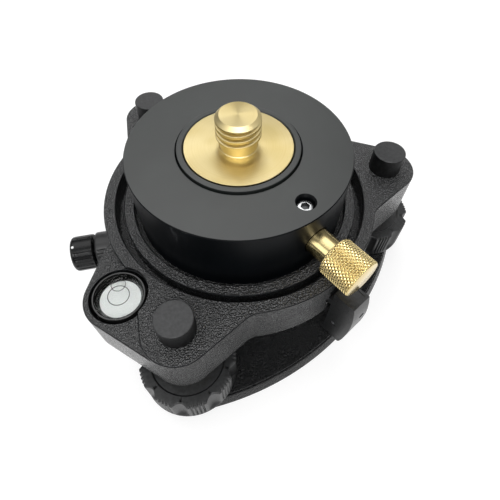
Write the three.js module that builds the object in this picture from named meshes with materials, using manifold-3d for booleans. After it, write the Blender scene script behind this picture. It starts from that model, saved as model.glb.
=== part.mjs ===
// Tribrach with an optical plummet, standing on its tripod base, with a screw adapter in its seat.
// Millimetres, +Z up. The origin is on the vertical axis at the underside of the base, and +X
// points to foot screw A; B and C follow every 120 degrees. The eyepiece looks out along -X.
import * as THREE from 'three';
import { mergeVertices } from 'three/addons/utils/BufferGeometryUtils.js';
import { ConvexGeometry } from 'three/addons/geometries/ConvexGeometry.js';
import Module from 'manifold-3d';

const wasm = await Module();
wasm.setup();

// Clearances
const SEAT = 0.1; // between pieces that are screwed or pressed together
const RUN = 0.1; // between a shaft and its bore, on the radius
const LOOSE = 0.3; // between pieces that only pass each other, and round turned pieces
const OVERRUN = 2; // how far a cut runs past the face that it opens
const WELD = 0.00001; // vertices closer than this are one

// Foot screws
const FOOT_COUNT = 3;
const FOOT_OUTSET = 8.1; // from the body's rim to a foot screw's axis

// Base plate: a triangle with bulging sides, its corners rounded about the foot screws
const BASE_SIDE_INSET = 0.85; // from the foot circle to the middle of a side
const BASE_SIDE_RADIUS = 121;
const BASE_CORNER_RADIUS = 15;
const BASE_BAND_HEIGHT = 5.2;
const BASE_BAND_DRAFT = 1.5; // how far the band leans in at its top
const BASE_STEP_HEIGHT = 0.6;
const BASE_STEP_INSET = 2.2;
const SPRING_PLATE_INSET = 0.6;
const SPRING_PLATE_THICKNESS = 1;
const SPRING_PLATE_HOLE_RADIUS = 20;
const INSERT_RADIUS = 13;
const TRIPOD_THREAD_RADIUS = 7.94; // 5/8 inch thread
const THREAD_PITCH = 2.31; // 11 turns to the inch
const THREAD_DEPTH = 1.25;
const TRIPOD_THREAD_TURNS = 2;
const PLATE_SCREW_INSET = 19; // from the middle of a side
const PLATE_SCREW_RADIUS = 1.5;
const PLATE_SCREW_HEAD_RADIUS = 2.9;
const PLATE_SCREW_HEAD_HEIGHT = 1.6;
const PLATE_SCREW_LENGTH = 4.4;

// Foot spindle with its ball end, held in a socket of the base by the spring plate
const SPINDLE_RADIUS = 4;
const SPINDLE_NECK_RADIUS = 2.6;
const BALL_RADIUS = 3.8;
const BALL_HEIGHT = 4.2;
const SOCKET_FLOOR = 1; // thickness of the base under a ball
const SPINDLE_RISE = 1.2; // how far the spindle stands above the plate inside its cap

// Foot knob
const KNOB_RADIUS = 18.3;
const KNOB_HEIGHT = 13;
const KNOB_RIM_HEIGHT = 1.2; // plain rim under the ribs
const KNOB_RIB_INSET = 0.1;
const KNOB_RIB_DEPTH = 0.55;
const KNOB_SCALLOPS = 9;
const KNOB_RIBS = 5; // in each group between two scallops
const KNOB_SCALLOP_WIDTH = 5.4;
const KNOB_SCALLOP_DEPTH = 1.3;
const KNOB_TO_BODY = 5.4; // from a knob's top to the upper body

// Upper body
const BODY_HEIGHT = 22.3;
const RIM_WALL = 4.51; // between the groove and the outside
const LOBE_WALL = 2.05; // round the level's recess
const LOBE_FLANK_DEG = 30; // between a lobe's flank and its radius
const LOBE_FILLET_RADIUS = 8;
const BODY_TOP_ROUND = 0.5;
const BODY_FOOT_ROUND = 2.4;
const GROOVE_WIDTH = 3.07;
const GROOVE_DEPTH = 7.8;
const SEAT_RING_WIDTH = 3.91;
const SEAT_RING_GAP = 1.71; // round the adapter
const SEAT_RING_DROP = 1.7; // from the plate's top to the seat ring's top
const SEAT_DEPTH = 4.6;
const WEB_THICKNESS = 4.5;
const CAVITY_WALL = 5.45;
const COVER_LEDGE = 3.9; // that the cover lies under
const HUB_LEDGE = 0.5; // round the plummet's flange
const HUB_GAP = 6; // inside the clamp ring

// Bush and dust cap of a foot screw
const BUSH_RADIUS = 7;
const BUSH_TOP_DROP = 2;
const BUSH_FLANGE_RADIUS = 8.6;
const BUSH_FLANGE_HEIGHT = 1;
const CAP_HEIGHT = 8.8;
const CAP_ROUND = 0.7;
const CAP_SPIGOT_DEPTH = 1.5;
const CAP_GAP = 0.5; // round the spindle
const CAP_SPIGOT_WALL = 0.9;
const CAP_BRIM = 0.95; // outside the spigot
const CAP_ROOF = 1.4;

// Circular level on its lobe
const VIAL_INSET = 0.35; // from the foot circle
const VIAL_AZIMUTH_DEG = 216.8;
const VIAL_STEP = 1.8; // from the plate's top down to the vial lobe's top
const VIAL_GAP = 1; // round the level in its recess
const LEVEL_RADIUS = 9.15;
const LEVEL_RISE = 0.4;
const LEVEL_MOUTH_RADIUS = 8.45;
const LEVEL_BORE_RADIUS = 7.2; // at the disc, where the tapered mouth ends
const LEVEL_WINDOW_DROP = 0.1; // from the cup's edge to the window
const LEVEL_FLOOR = 2.4;
const LEVEL_DISC_THICKNESS = 3.6;
const LEVEL_FLUID_THICKNESS = 1.6;
const LEVEL_GLASS_THICKNESS = 1.2;
const LEVEL_BUBBLE_RADIUS = 2.6;
const LEVEL_BUBBLE_DEPTH = 0.5;
const LEVEL_BUBBLE_OFFSET = 2.2;
const LEVEL_BUBBLE_AZIMUTH_DEG = 70;
const LEVEL_SCREW_CIRCLE_RADIUS = 6.2;
const LEVEL_SCREW_RADIUS = 1;
const LEVEL_SCREW_HEAD_RADIUS = 2.2;
const LEVEL_SCREW_HEAD_HEIGHT = 1.8;
const LEVEL_SCREW_GRIP = 1.6; // depth in the floor of the cup
const LEVEL_SCREW_WEB = 3; // metal between the screw heads and the recess

// Clamp ring, its cover, and the lever
const RING_GAP = 0.6; // inside its chamber
const RING_SLOT_LAND = 5.7; // between the prongs' slots and the ring's bore
const RING_THICKNESS = 3.8;
const RING_HEADROOM = 0.4;
const COVER_THICKNESS = 1.1;
const COVER_SCREW_RADIUS = 0.9;
const COVER_SCREW_HEAD_RADIUS = 1.6;
const COVER_SCREW_HEAD_HEIGHT = 1;
const COVER_SCREW_BITE = 5;
const COVER_SCREW_FIRST_DEG = 30;
const CLAMP_TRAVEL_DEG = 25; // from locked to open
const LEVER_AZIMUTH_DEG = 300;
const LEVER_WIDTH = 8.4;
const LEVER_TO_BODY = 1.35;
const LEVER_DEPTH = 10.3; // from its inner to its outer face, at the bulge
const LEVER_HEIGHT = 29.3;
const LEVER_TOP_DROP = 5.1; // from the plate's top to the lever's top
const LEVER_CHAMFER = 0.5;
const LEVER_TAB_THICKNESS = 1.8;
const LEVER_TAB_LENGTH = 6.2;
const LEVER_SCREW_RADIUS = 0.9;
const LEVER_SCREW_HEAD_RADIUS = 1.6;
const LEVER_SCREW_HEAD_HEIGHT = 0.9;
const LEVER_SCREW_SPACING = 4.8;
const SET_SCREW_RADIUS = 1.2;
const SET_SCREW_LENGTH = 2.6;
const SET_SCREW_INSET = 6.9; // from the lever's outer face
const SET_SCREW_RISE = 9.6; // from the lever's foot
const LEVER_MARK_LENGTH = 3.6;
const LEVER_MARK_WIDTH = 0.7;
const LEVER_MARK_DEPTH = 0.7;
const LEVER_MARK_DROP = 7.7; // from the lever's top

// Optical plummet
const PRISM_HEADROOM = 2.8; // under the housing's roof
const PRISM_CORNER_GAP = 0.34; // inside the housing's bore
const HOUSING_RADIUS = 11;
const HOUSING_FLANGE_WIDTH = 6.5;
const HOUSING_FLANGE_THICKNESS = 2.5;
const HOUSING_HEIGHT = 18.4;
const HOUSING_ROOF = 1.9;
const TUBE_RADIUS = 5.6;
const TUBE_BORE_RADIUS = 4.4;
const PRISM_LEG = 8;
const OBJECTIVE_THICKNESS = 2.4;
const OBJECTIVE_RISE = 1;
const LENS_CROWN = 0.6;
const LENS_EDGE_THICKNESS = 1.2;
const HOUSING_SCREW_RADIUS = 1.2;
const HOUSING_SCREW_HEAD_RADIUS = 2.2;
const HOUSING_SCREW_HEAD_HEIGHT = 1.4;
const HOUSING_SCREW_BITE = 4.4;
const RETICLE_THICKNESS = 1.2;
const FOCUS_CELL_LENGTH = 7;
const FOCUS_CELL_WALL = 1.1;
const FOCUS_TRAVEL = 3; // of the cell, each way
const RETICLE_INSET = 3.7; // from the body's rim
const FOCUS_CELL_GAP = 4; // from the reticle to the cell at its nearest
const FOCUS_RING_RADIUS = 7.9;
const FOCUS_RING_LENGTH = 8.4;
const EYEPIECE_RADIUS = 7.5;
const EYEPIECE_LENGTH = 9.4;
const EYEPIECE_GAP = 0.9;
const EYEPIECE_SPIGOT_LENGTH = 6;
const EYEPIECE_WALL = 1;
const EYEPIECE_ROUND = 0.9;
const EYE_CONE_DEPTH = 2.4;
const EYE_CONE_RADIUS = 5;
const EYE_LENS_DEPTH = 4.6; // from the eyepiece's face
const RING_RIB_GROUPS = 6;
const RING_GROOVES = 4; // in each group
const RING_GROOVE_DEPTH = 0.4;
const RING_GROOVE_SHARE = 0.5; // of each group's angle that carries grooves

// Screw adapter
const ADAPTER_CHAMFER = 0.3;
const PRONG_PLATE_INSET = 1.4; // inside the adapter's side
const PRONG_PLATE_THICKNESS = 2;
const PRONG_RADIUS = 5;
const PRONG_INSET = 6.75; // from the adapter's side to a prong's axis
const PRONG_LENGTH = 13; // below the plate
const PRONG_WAIST_RADIUS = 4;
const PRONG_SPIGOT_RADIUS = 3.4;
const PRONG_SPIGOT_LENGTH = 5; // above the plate
const PRONG_CHAMFER = 0.8;
const COLLAR_WIDTH = 2.28; // round the flange's recess
const COLLAR_RISE = 0.97;
const COLLAR_DEPTH = 5; // of the spindle's head below the adapter's top
const CORE_RADIUS = 12;
const CORE_THREAD_RADIUS = 9;
const CORE_BUSH_WALL = 2.9;
const CORE_BUSH_LENGTH = 15.5;
const NUT_WELL_GAP = 3; // round the washer
const WASHER_OVERLAP = 2; // past the bush
const WASHER_THICKNESS = 1.5;
const NUT_WALL = 4.7; // at the corners
const NUT_HEIGHT = 4.1;
const CORE_THREAD_OVERHANG = 0.7;
const CORE_TAIL_RISE = 2.1; // of the spindle's tail above the adapter's underside
const FLANGE_RADIUS = 19.66;
const FLANGE_THICKNESS = 3.4;
const FLANGE_CHAMFER = 0.35;
const FLANGE_PROUD = 0.02; // above the collar
const FLANGE_SPIGOT_RADIUS = 8;
const FLANGE_SPIGOT_LENGTH = 8.6;
const STUD_HEIGHT = 13.1; // above the flange
const STUD_NECK_RADIUS = 6.74;
const STUD_NECK_HEIGHT = 4;
const STUD_FACE_RADIUS = 6.46;
const STUD_TURNS = 3;
const STUD_LEAD_CHAMFER = 1.5;

// Clamp screw of the adapter
const CLAMP_AZIMUTH_DEG = 298.6;
const CLAMP_KNOB_CLEARANCE = 2.5; // from the upper body to the knob
const CLAMP_BUSH_RADIUS = 4.8;
const CLAMP_BUSH_OUTSTAND = 7.55; // from the adapter's side
const CLAMP_SCREW_RADIUS = 2.5;
const CLAMP_KNOB_GAP = 0.5;
const CLAMP_KNOB_RADIUS = 7.2;
const CLAMP_KNOB_LENGTH = 12.2;
const CLAMP_KNOB_CHAMFER = 0.9;
const PAD_NOSE_RADIUS = 3;
const PAD_LENGTH = 9.4;
const PAD_NOSE_LENGTH = 3.5;
const PAD_TRAVEL = 0.4;
const CLAMP_TIP_LENGTH = 2.8; // of the screw inside the bush
const BUSH_SCREW_INSET = 7.15; // from the adapter's side
const BUSH_SCREW_RADIUS = 1.5;
const BUSH_SCREW_HEAD_RADIUS = 2.7;
const BUSH_SCREW_HEAD_HEIGHT = 2;
const BUSH_SCREW_SINK = 2.1; // of its head below the adapter's top
const BUSH_SCREW_GAP = 0.6; // round its head
const HEX_SOCKET_SHARE = 0.56; // of a screw head's radius, to the socket's corners
const SOCKET_DEPTH_SHARE = 0.55; // of a screw head's height

// Facets
const WIDE_SEGMENTS = 42;
const MID_SEGMENTS = 24;
const FINE_SEGMENTS = 16;
const SMALL_SEGMENTS = 8;
const ARC_STEP_DEG = 12;
const ARC_CHORD = 9;
const RING_SLOT_CHORDS = 6; // in each round end of the clamp ring's slots

// Colours
const BLACK_CASTING = 0x3a3c3e;
const BLACK_ANODISED = 0x232527;
const BLACK_RUBBER = 0x2c2e30;
const BRASS = 0xd9c07a;
const STEEL = 0xc4c6c8;
const BRONZE = 0xa8793f;
const WHITE = 0xf1f3f0;
const GLASS = 0xdfe8e6;

// Radii about the vertical axis, from the plummet outwards
const housingBoreRadius = PRISM_LEG * Math.SQRT1_2 + PRISM_CORNER_GAP;
const housingFlangeRadius = HOUSING_RADIUS + HOUSING_FLANGE_WIDTH;
const housingScrewCircleRadius = (HOUSING_RADIUS + housingFlangeRadius) / 2;
const hubRadius = housingFlangeRadius + HUB_LEDGE;
const ringInnerRadius = hubRadius + HUB_GAP;
const prongCircleRadius = ringInnerRadius + RING_SLOT_LAND + LOOSE + PRONG_WAIST_RADIUS;
const adapterRadius = prongCircleRadius + PRONG_INSET;
const seatRingInnerRadius = adapterRadius + SEAT_RING_GAP;
const seatRingOuterRadius = seatRingInnerRadius + SEAT_RING_WIDTH;
const grooveOuterRadius = seatRingOuterRadius + GROOVE_WIDTH;
const rimRadius = grooveOuterRadius + RIM_WALL;
const footCircleRadius = rimRadius + FOOT_OUTSET;
const vialCircleRadius = footCircleRadius - VIAL_INSET;
const vialRecessRadius = LEVEL_RADIUS + VIAL_GAP;
const lobeRadius = vialRecessRadius + LOBE_WALL;
const capBoreRadius = SPINDLE_RADIUS + CAP_GAP;
const capSpigotRadius = capBoreRadius + CAP_SPIGOT_WALL;
const capRadius = capSpigotRadius + CAP_BRIM;
const baseSideReach = footCircleRadius - BASE_SIDE_INSET;
const plateScrewCircleRadius = baseSideReach - PLATE_SCREW_INSET;
const cavityRadius = rimRadius - CAVITY_WALL;
const chamberRadius = cavityRadius - COVER_LEDGE;
const ringOuterRadius = chamberRadius - RING_GAP;
const coreBushRadius = CORE_RADIUS + RUN + CORE_BUSH_WALL;
const collarRadius = FLANGE_RADIUS + LOOSE + COLLAR_WIDTH;
const washerRadius = coreBushRadius + WASHER_OVERLAP;
const nutWellRadius = washerRadius + NUT_WELL_GAP;
const leverInner = rimRadius + LEVER_TO_BODY;
const leverOuter = leverInner + LEVER_DEPTH;
const padRadius = CLAMP_BUSH_RADIUS - 2 * RUN;
const bushScrewWellRadius = BUSH_SCREW_HEAD_RADIUS + BUSH_SCREW_GAP;

// Heights, from the underside of the base upwards
const baseTop = BASE_BAND_HEIGHT + BASE_STEP_HEIGHT;
const springPlateTop = baseTop + SPRING_PLATE_THICKNESS;
const knobBottom = springPlateTop + LOOSE;
const knobTop = knobBottom + KNOB_HEIGHT;
const bodyBottom = knobTop + KNOB_TO_BODY;
const plateTop = bodyBottom + BODY_HEIGHT;
const vialLobeTop = plateTop - VIAL_STEP;
const seatRingTop = plateTop - SEAT_RING_DROP;
const grooveFloor = plateTop - GROOVE_DEPTH;
const seatFloor = seatRingTop - SEAT_DEPTH;
const webBottom = seatFloor - WEB_THICKNESS;
const chamberFloor = webBottom - RING_HEADROOM - RING_THICKNESS - RUN + SEAT;
const coverTop = chamberFloor - SEAT;
const coverBottom = coverTop - COVER_THICKNESS;
const ringBottom = coverTop + RUN;
const ringTop = ringBottom + RING_THICKNESS;
const hubFace = coverBottom;
const sightHeight = hubFace - SEAT - HOUSING_ROOF - PRISM_HEADROOM - PRISM_LEG / 2;
const adapterBottom = seatFloor + SEAT;
const spindleTail = adapterBottom + CORE_TAIL_RISE;
const nutTop = spindleTail + CORE_THREAD_OVERHANG + NUT_HEIGHT;
const washerTop = nutTop + SEAT + WASHER_THICKNESS;
const bearingBottom = washerTop + LOOSE;
const bearingTop = bearingBottom + CORE_BUSH_LENGTH;
const headBottom = bearingTop + SEAT;
const adapterTop = headBottom + COLLAR_DEPTH;
const clampHeight = plateTop + CLAMP_KNOB_CLEARANCE + CLAMP_KNOB_RADIUS;

const footAngles = Array.from({ length: FOOT_COUNT }, (_, i) => (i * 360) / FOOT_COUNT);
const setLetters = ['a', 'b', 'c'];
const rad = THREE.MathUtils.degToRad;

// A point at a distance and an angle from a centre
function polar(radius, degrees, centre = new THREE.Vector2(0, 0)) {
  const angle = rad(degrees);
  return new THREE.Vector2(centre.x + radius * Math.cos(angle), centre.y + radius * Math.sin(angle));
}

// Chords that an arc is drawn with
function chords(radius, degrees) {
  return Math.ceil(Math.max(degrees / ARC_STEP_DEG, (radius * rad(degrees)) / ARC_CHORD));
}

// Points along an arc, both ends included
function arc(centre, radius, fromDeg, toDeg, steps = chords(radius, Math.abs(toDeg - fromDeg))) {
  return Array.from({ length: steps + 1 }, (_, i) => (
    polar(radius, fromDeg + ((toDeg - fromDeg) * i) / steps, centre)));
}

// Turns a geometry into a closed solid that can be joined and cut
function solid(geometry) {
  const bare = geometry.clone();
  bare.deleteAttribute('normal');
  bare.deleteAttribute('uv');
  const merged = mergeVertices(bare, WELD);
  const position = merged.attributes.position;
  const index = Array.from(merged.index.array);
  const corners = [];
  let volume = 0;
  const [a, b, c] = [new THREE.Vector3(), new THREE.Vector3(), new THREE.Vector3()];
  for (let i = 0; i < index.length; i += 3) {
    const [p, q, r] = index.slice(i, i + 3);
    if (p === q || q === r || r === p) continue;
    a.fromBufferAttribute(position, p);
    b.fromBufferAttribute(position, q);
    c.fromBufferAttribute(position, r);
    volume += a.dot(b.cross(c));
    corners.push(p, q, r);
  }
  if (volume < 0) {
    for (let i = 0; i < corners.length; i += 3) {
      [corners[i + 1], corners[i + 2]] = [corners[i + 2], corners[i + 1]];
    }
  }
  return new wasm.Manifold(new wasm.Mesh({
    numProp: 3,
    vertProperties: Float32Array.from(position.array),
    triVerts: Uint32Array.from(corners),
  }));
}

// Gives the vertices and triangles of a solid back as a geometry
function geometryOf(manifold) {
  const mesh = manifold.getMesh();
  const geometry = new THREE.BufferGeometry();
  geometry.setAttribute('position', new THREE.BufferAttribute(Float32Array.from(mesh.vertProperties), 3));
  geometry.setIndex(new THREE.BufferAttribute(Uint32Array.from(mesh.triVerts), 1));
  geometry.computeVertexNormals();
  return geometry;
}

// A body of revolution about Z, from [radius, height] pairs
function turned(profile, segments = MID_SEGMENTS) {
  const points = profile.map(([r, z]) => new THREE.Vector2(r, z));
  return solid(new THREE.LatheGeometry(points, segments).rotateX(Math.PI / 2));
}

function rod(radius, from, to, segments = MID_SEGMENTS) {
  return turned([[0, from], [radius, from], [radius, to], [0, to]], segments);
}

function pipe(outer, inner, from, to, segments = MID_SEGMENTS) {
  return turned([[inner, from], [outer, from], [outer, to], [inner, to], [inner, from]], segments);
}

// An outline extruded from one height to another, with its edges rounded by a bevel
function slab(points, from, to, round = 0, steps = 1) {
  const geometry = new THREE.ExtrudeGeometry(new THREE.Shape(points), {
    depth: to - from - 2 * round,
    bevelEnabled: round > 0,
    bevelThickness: round,
    bevelSize: round,
    bevelOffset: -round,
    bevelSegments: steps,
  });
  return solid(geometry.translate(0, 0, from + round));
}

function block(size, centre) {
  return solid(new THREE.BoxGeometry(...size).translate(...centre));
}

// Lays a solid that was turned about Z along +X at a height
function laid(piece, height) {
  return piece.rotate([0, 90, 0]).translate([0, 0, height]);
}

function joined(pieces) {
  return pieces.reduce((whole, piece) => whole.add(piece));
}

function cut(piece, tools) {
  return tools.reduce((rest, tool) => rest.subtract(tool), piece);
}

// The place of a point on a circle round the vertical axis
function placed(radius, degrees) {
  const point = polar(radius, degrees);
  return [point.x, point.y, 0];
}

// Copies of a solid around the vertical axis, all facing the same way
function around(piece, radius, angles) {
  return joined(angles.map((angle) => piece.translate(placed(radius, angle))));
}

function hexagon(radius) {
  return Array.from({ length: 6 }, (_, i) => polar(radius, i * 60));
}

// A cap screw with its head at the top, its head's underside at height 0
function capScrew(shankRadius, shankLength, headRadius, headHeight) {
  const shape = turned([
    [0, -shankLength], [shankRadius, -shankLength], [shankRadius, 0],
    [headRadius, 0], [headRadius, headHeight], [0, headHeight],
  ], SMALL_SEGMENTS);
  const socketFloor = headHeight * (1 - SOCKET_DEPTH_SHARE);
  return shape.subtract(slab(hexagon(headRadius * HEX_SOCKET_SHARE), socketFloor, headHeight + OVERRUN));
}

const upsideDown = (piece) => piece.rotate([180, 0, 0]);

function finish(color, roughness, metalness) {
  return new THREE.MeshStandardMaterial({ color, roughness, metalness, flatShading: true });
}

function named(name, shape, material, place = [0, 0, 0]) {
  const mesh = new THREE.Mesh(geometryOf(shape), material);
  mesh.name = name;
  mesh.position.set(...place);
  return mesh;
}

// One node for each of a set of equal pieces round the vertical axis
function namedSet(name, shape, material, radius, angles) {
  return angles.map((angle, i) => (
    named(`${name}_${setLetters[i]}`, shape, material, placed(radius, angle))));
}

const casting = () => finish(BLACK_CASTING, 0.6, 0.1);
const anodised = () => finish(BLACK_ANODISED, 0.35, 0.6);
const moulded = () => finish(BLACK_RUBBER, 0.75, 0);
const brass = () => finish(BRASS, 0.25, 1);
const steel = () => finish(STEEL, 0.3, 1);
const bronze = () => finish(BRONZE, 0.4, 1);
const clear = () => finish(GLASS, 0.05, 0);

// The base's outline, drawn in by an inset all round
function baseOutline(inset) {
  const sideRadius = BASE_SIDE_RADIUS - inset;
  const cornerRadius = BASE_CORNER_RADIUS - inset;
  const sideCentre = BASE_SIDE_RADIUS - baseSideReach; // behind the axis, seen from its side
  const toCorner = sideRadius - cornerRadius; // between a side's centre and a corner's
  const halfTurn = rad(60);
  const across = sideCentre * Math.sin(halfTurn);
  const cornerReach = Math.sqrt(toCorner ** 2 - across ** 2) - sideCentre * Math.cos(halfTurn);
  const along = cornerReach + sideCentre * Math.cos(halfTurn);
  const cornerTurn = THREE.MathUtils.radToDeg(Math.atan2(across, along));
  const points = [];
  for (const foot of footAngles) {
    const corner = polar(cornerReach, foot);
    points.push(...arc(corner, cornerRadius, foot - cornerTurn, foot + cornerTurn));
    const middle = foot + 60;
    const half = 60 - cornerTurn;
    const side = arc(polar(sideCentre, middle + 180), sideRadius, middle - half, middle + half);
    points.push(...side.slice(1, -1));
  }
  return points;
}

function at(points, height) {
  return points.map((p) => new THREE.Vector3(p.x, p.y, height));
}

const plateScrewAngles = footAngles.map((angle) => angle + 60);

function makeBasePlate() {
  const band = new ConvexGeometry([
    ...at(baseOutline(0), 0),
    ...at(baseOutline(BASE_BAND_DRAFT), BASE_BAND_HEIGHT),
  ]);
  const step = slab(baseOutline(BASE_STEP_INSET + BASE_BAND_DRAFT), BASE_BAND_HEIGHT - SEAT, baseTop);
  const ballSocket = rod(BALL_RADIUS + LOOSE, SOCKET_FLOOR, baseTop + OVERRUN, FINE_SEGMENTS);
  const screwHole = rod(PLATE_SCREW_RADIUS + RUN, springPlateTop - PLATE_SCREW_LENGTH - LOOSE,
    baseTop + OVERRUN, SMALL_SEGMENTS);
  return cut(solid(band).add(step), [
    rod(INSERT_RADIUS + SEAT, -OVERRUN, baseTop + OVERRUN, FINE_SEGMENTS),
    around(ballSocket, footCircleRadius, footAngles),
    around(screwHole, plateScrewCircleRadius, plateScrewAngles),
  ]);
}

function makeSpringPlate() {
  const sheet = slab(baseOutline(SPRING_PLATE_INSET + BASE_BAND_DRAFT), baseTop + SEAT, springPlateTop);
  const under = baseTop - OVERRUN;
  const over = springPlateTop + OVERRUN;
  const neckHole = rod(SPINDLE_NECK_RADIUS + LOOSE, under, over, FINE_SEGMENTS);
  const screwHole = rod(PLATE_SCREW_RADIUS + RUN, under, over, SMALL_SEGMENTS);
  return cut(sheet, [
    rod(SPRING_PLATE_HOLE_RADIUS, under, over),
    around(neckHole, footCircleRadius, footAngles),
    around(screwHole, plateScrewCircleRadius, plateScrewAngles),
  ]);
}

// Heights and radii of thread grooves, as rings, between a start and the next full turn
function threadProfile(start, turns, crest, depth) {
  const shares = [[0, 1], [0.25, 0], [0.5, 0], [0.75, 1]];
  const points = [];
  for (let turn = 0; turn < turns; turn += 1) {
    for (const [rise, sunk] of shares) {
      points.push([crest - depth * sunk, start + (turn + rise) * THREAD_PITCH]);
    }
  }
  return points;
}

function makeThreadInsert() {
  const wall = threadProfile((baseTop - TRIPOD_THREAD_TURNS * THREAD_PITCH) / 2, TRIPOD_THREAD_TURNS,
    TRIPOD_THREAD_RADIUS - THREAD_DEPTH, -THREAD_DEPTH);
  const mouth = TRIPOD_THREAD_RADIUS;
  return turned([
    [mouth, SEAT], [INSERT_RADIUS, SEAT], [INSERT_RADIUS, baseTop], [mouth, baseTop],
    ...wall.reverse(), [mouth, SEAT],
  ], FINE_SEGMENTS);
}

function makePlateScrew() {
  const screw = capScrew(PLATE_SCREW_RADIUS, PLATE_SCREW_LENGTH, PLATE_SCREW_HEAD_RADIUS,
    PLATE_SCREW_HEAD_HEIGHT);
  return screw.translate([0, 0, springPlateTop + SEAT]);
}

function makeFootSpindle() {
  const ballBottom = SOCKET_FLOOR + LOOSE;
  const ballTop = ballBottom + BALL_HEIGHT;
  const middle = (ballBottom + ballTop) / 2;
  const squash = BALL_HEIGHT / 2;
  const ball = [-75, -45, -15, 15, 45].map((tilt) => (
    [BALL_RADIUS * Math.cos(rad(tilt)), middle + squash * Math.sin(rad(tilt))]));
  return turned([
    [0, ballBottom], ...ball, [SPINDLE_NECK_RADIUS, ballTop],
    [SPINDLE_NECK_RADIUS, knobBottom], [SPINDLE_RADIUS, knobBottom + SPINDLE_RADIUS - SPINDLE_NECK_RADIUS],
    [SPINDLE_RADIUS, plateTop + SPINDLE_RISE - SEAT], [0, plateTop + SPINDLE_RISE],
  ], FINE_SEGMENTS);
}

// A knob's outline: groups of ribs between shallow scallops
function knobOutline() {
  const crest = KNOB_RADIUS - KNOB_RIB_INSET;
  const period = 360 / KNOB_SCALLOPS;
  const scallop = THREE.MathUtils.radToDeg(KNOB_SCALLOP_WIDTH / crest);
  const rib = (period - scallop) / KNOB_RIBS;
  const scallopShares = [0.25, 0.5, 0.75];
  const ribShares = [[0.25, 0], [0.75, 1]];
  const points = [];
  for (let i = 0; i < KNOB_SCALLOPS; i += 1) {
    const start = i * period;
    for (const share of scallopShares) {
      const depth = KNOB_SCALLOP_DEPTH * Math.sin(Math.PI * share);
      points.push(polar(crest - depth, start + scallop * (share - 0.5)));
    }
    for (let j = 0; j < KNOB_RIBS; j += 1) {
      const last = j === KNOB_RIBS - 1;
      for (const [share, sunk] of last ? ribShares.slice(0, 1) : ribShares) {
        points.push(polar(crest - KNOB_RIB_DEPTH * sunk, start + scallop / 2 + rib * (j + share)));
      }
    }
  }
  return points;
}

function makeFootKnob() {
  const ribs = slab(knobOutline(), knobBottom + KNOB_RIM_HEIGHT / 2, knobTop);
  const rim = rod(KNOB_RADIUS, knobBottom, knobBottom + KNOB_RIM_HEIGHT, WIDE_SEGMENTS);
  const bore = rod(SPINDLE_RADIUS + SEAT, knobBottom - OVERRUN, knobTop + OVERRUN, FINE_SEGMENTS);
  return cut(ribs.add(rim), [bore]);
}

// Sizes of a lobe that a flank and a fillet join to the rim, seen along its own radius
function lobeTurns(circleRadius) {
  const flankNormal = 90 - LOBE_FLANK_DEG;
  const flankReach = circleRadius * Math.cos(rad(flankNormal)) + lobeRadius;
  const filletCircle = rimRadius + LOBE_FILLET_RADIUS;
  const away = Math.acos((flankReach + LOBE_FILLET_RADIUS) / filletCircle);
  return { flankNormal, filletCircle, filletDeg: flankNormal - THREE.MathUtils.radToDeg(away) };
}

// The fillet from the rim to a lobe's flank on the side of smaller angles
function fillet(azimuth, turns) {
  const centre = polar(turns.filletCircle, azimuth - turns.filletDeg);
  const from = azimuth - turns.filletDeg + 180;
  const to = azimuth - turns.flankNormal + 180;
  return arc(centre, LOBE_FILLET_RADIUS, from, to);
}

// The fillet on the side of larger angles, from the flank to the rim
function filletBack(azimuth, turns) {
  const centre = polar(turns.filletCircle, azimuth + turns.filletDeg);
  const from = azimuth + turns.flankNormal + 180;
  const to = azimuth + turns.filletDeg + 180;
  return arc(centre, LOBE_FILLET_RADIUS, from, to);
}

function bodyOutline() {
  const turns = lobeTurns(footCircleRadius);
  const points = [];
  const centre = new THREE.Vector2(0, 0);
  for (const foot of footAngles) {
    points.push(...fillet(foot, turns));
    points.push(...arc(polar(footCircleRadius, foot), lobeRadius,
      foot - turns.flankNormal, foot + turns.flankNormal));
    points.push(...filletBack(foot, turns));
    const next = foot + 360 / FOOT_COUNT;
    points.push(...arc(centre, rimRadius, foot + turns.filletDeg, next - turns.filletDeg).slice(1, -1));
  }
  return points;
}

// The vial lobe runs from the rim round the level to the neighbouring foot lobe
function vialLobeOutline() {
  const turns = lobeTurns(vialCircleRadius);
  const start = VIAL_AZIMUTH_DEG - turns.filletDeg - ARC_STEP_DEG;
  const foot = footAngles.find((angle) => angle > VIAL_AZIMUTH_DEG);
  const vial = polar(vialCircleRadius, VIAL_AZIMUTH_DEG);
  const lobe = polar(footCircleRadius, foot);
  const tangent = THREE.MathUtils.radToDeg(Math.atan2(lobe.y - vial.y, lobe.x - vial.x)) - 90 + 360;
  const centre = new THREE.Vector2(0, 0);
  return [
    polar(rimRadius - LOOSE, start),
    ...fillet(VIAL_AZIMUTH_DEG, turns),
    ...arc(vial, lobeRadius, VIAL_AZIMUTH_DEG - turns.flankNormal, tangent),
    polar(lobeRadius, tangent, lobe),
    lobe,
    ...arc(centre, seatRingInnerRadius, foot, start),
  ];
}

const vialPlace = polar(vialCircleRadius, VIAL_AZIMUTH_DEG);
const levelTop = vialLobeTop + LEVEL_RISE;
const levelGlassTop = levelTop - LEVEL_WINDOW_DROP;
const levelFluidTop = levelGlassTop - LEVEL_GLASS_THICKNESS - SEAT;
const levelDiscTop = levelFluidTop - LEVEL_FLUID_THICKNESS - SEAT;
const levelBottom = levelDiscTop - LEVEL_DISC_THICKNESS - SEAT - LEVEL_FLOOR;
const levelScrewAngles = footAngles.map((angle) => angle + VIAL_AZIMUTH_DEG);
const levelScrewHeadTop = levelBottom - LOOSE - LEVEL_SCREW_WEB;

function levelScrewSet(shape) {
  return around(shape, LEVEL_SCREW_CIRCLE_RADIUS, levelScrewAngles).translate([vialPlace.x, vialPlace.y, 0]);
}

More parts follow.
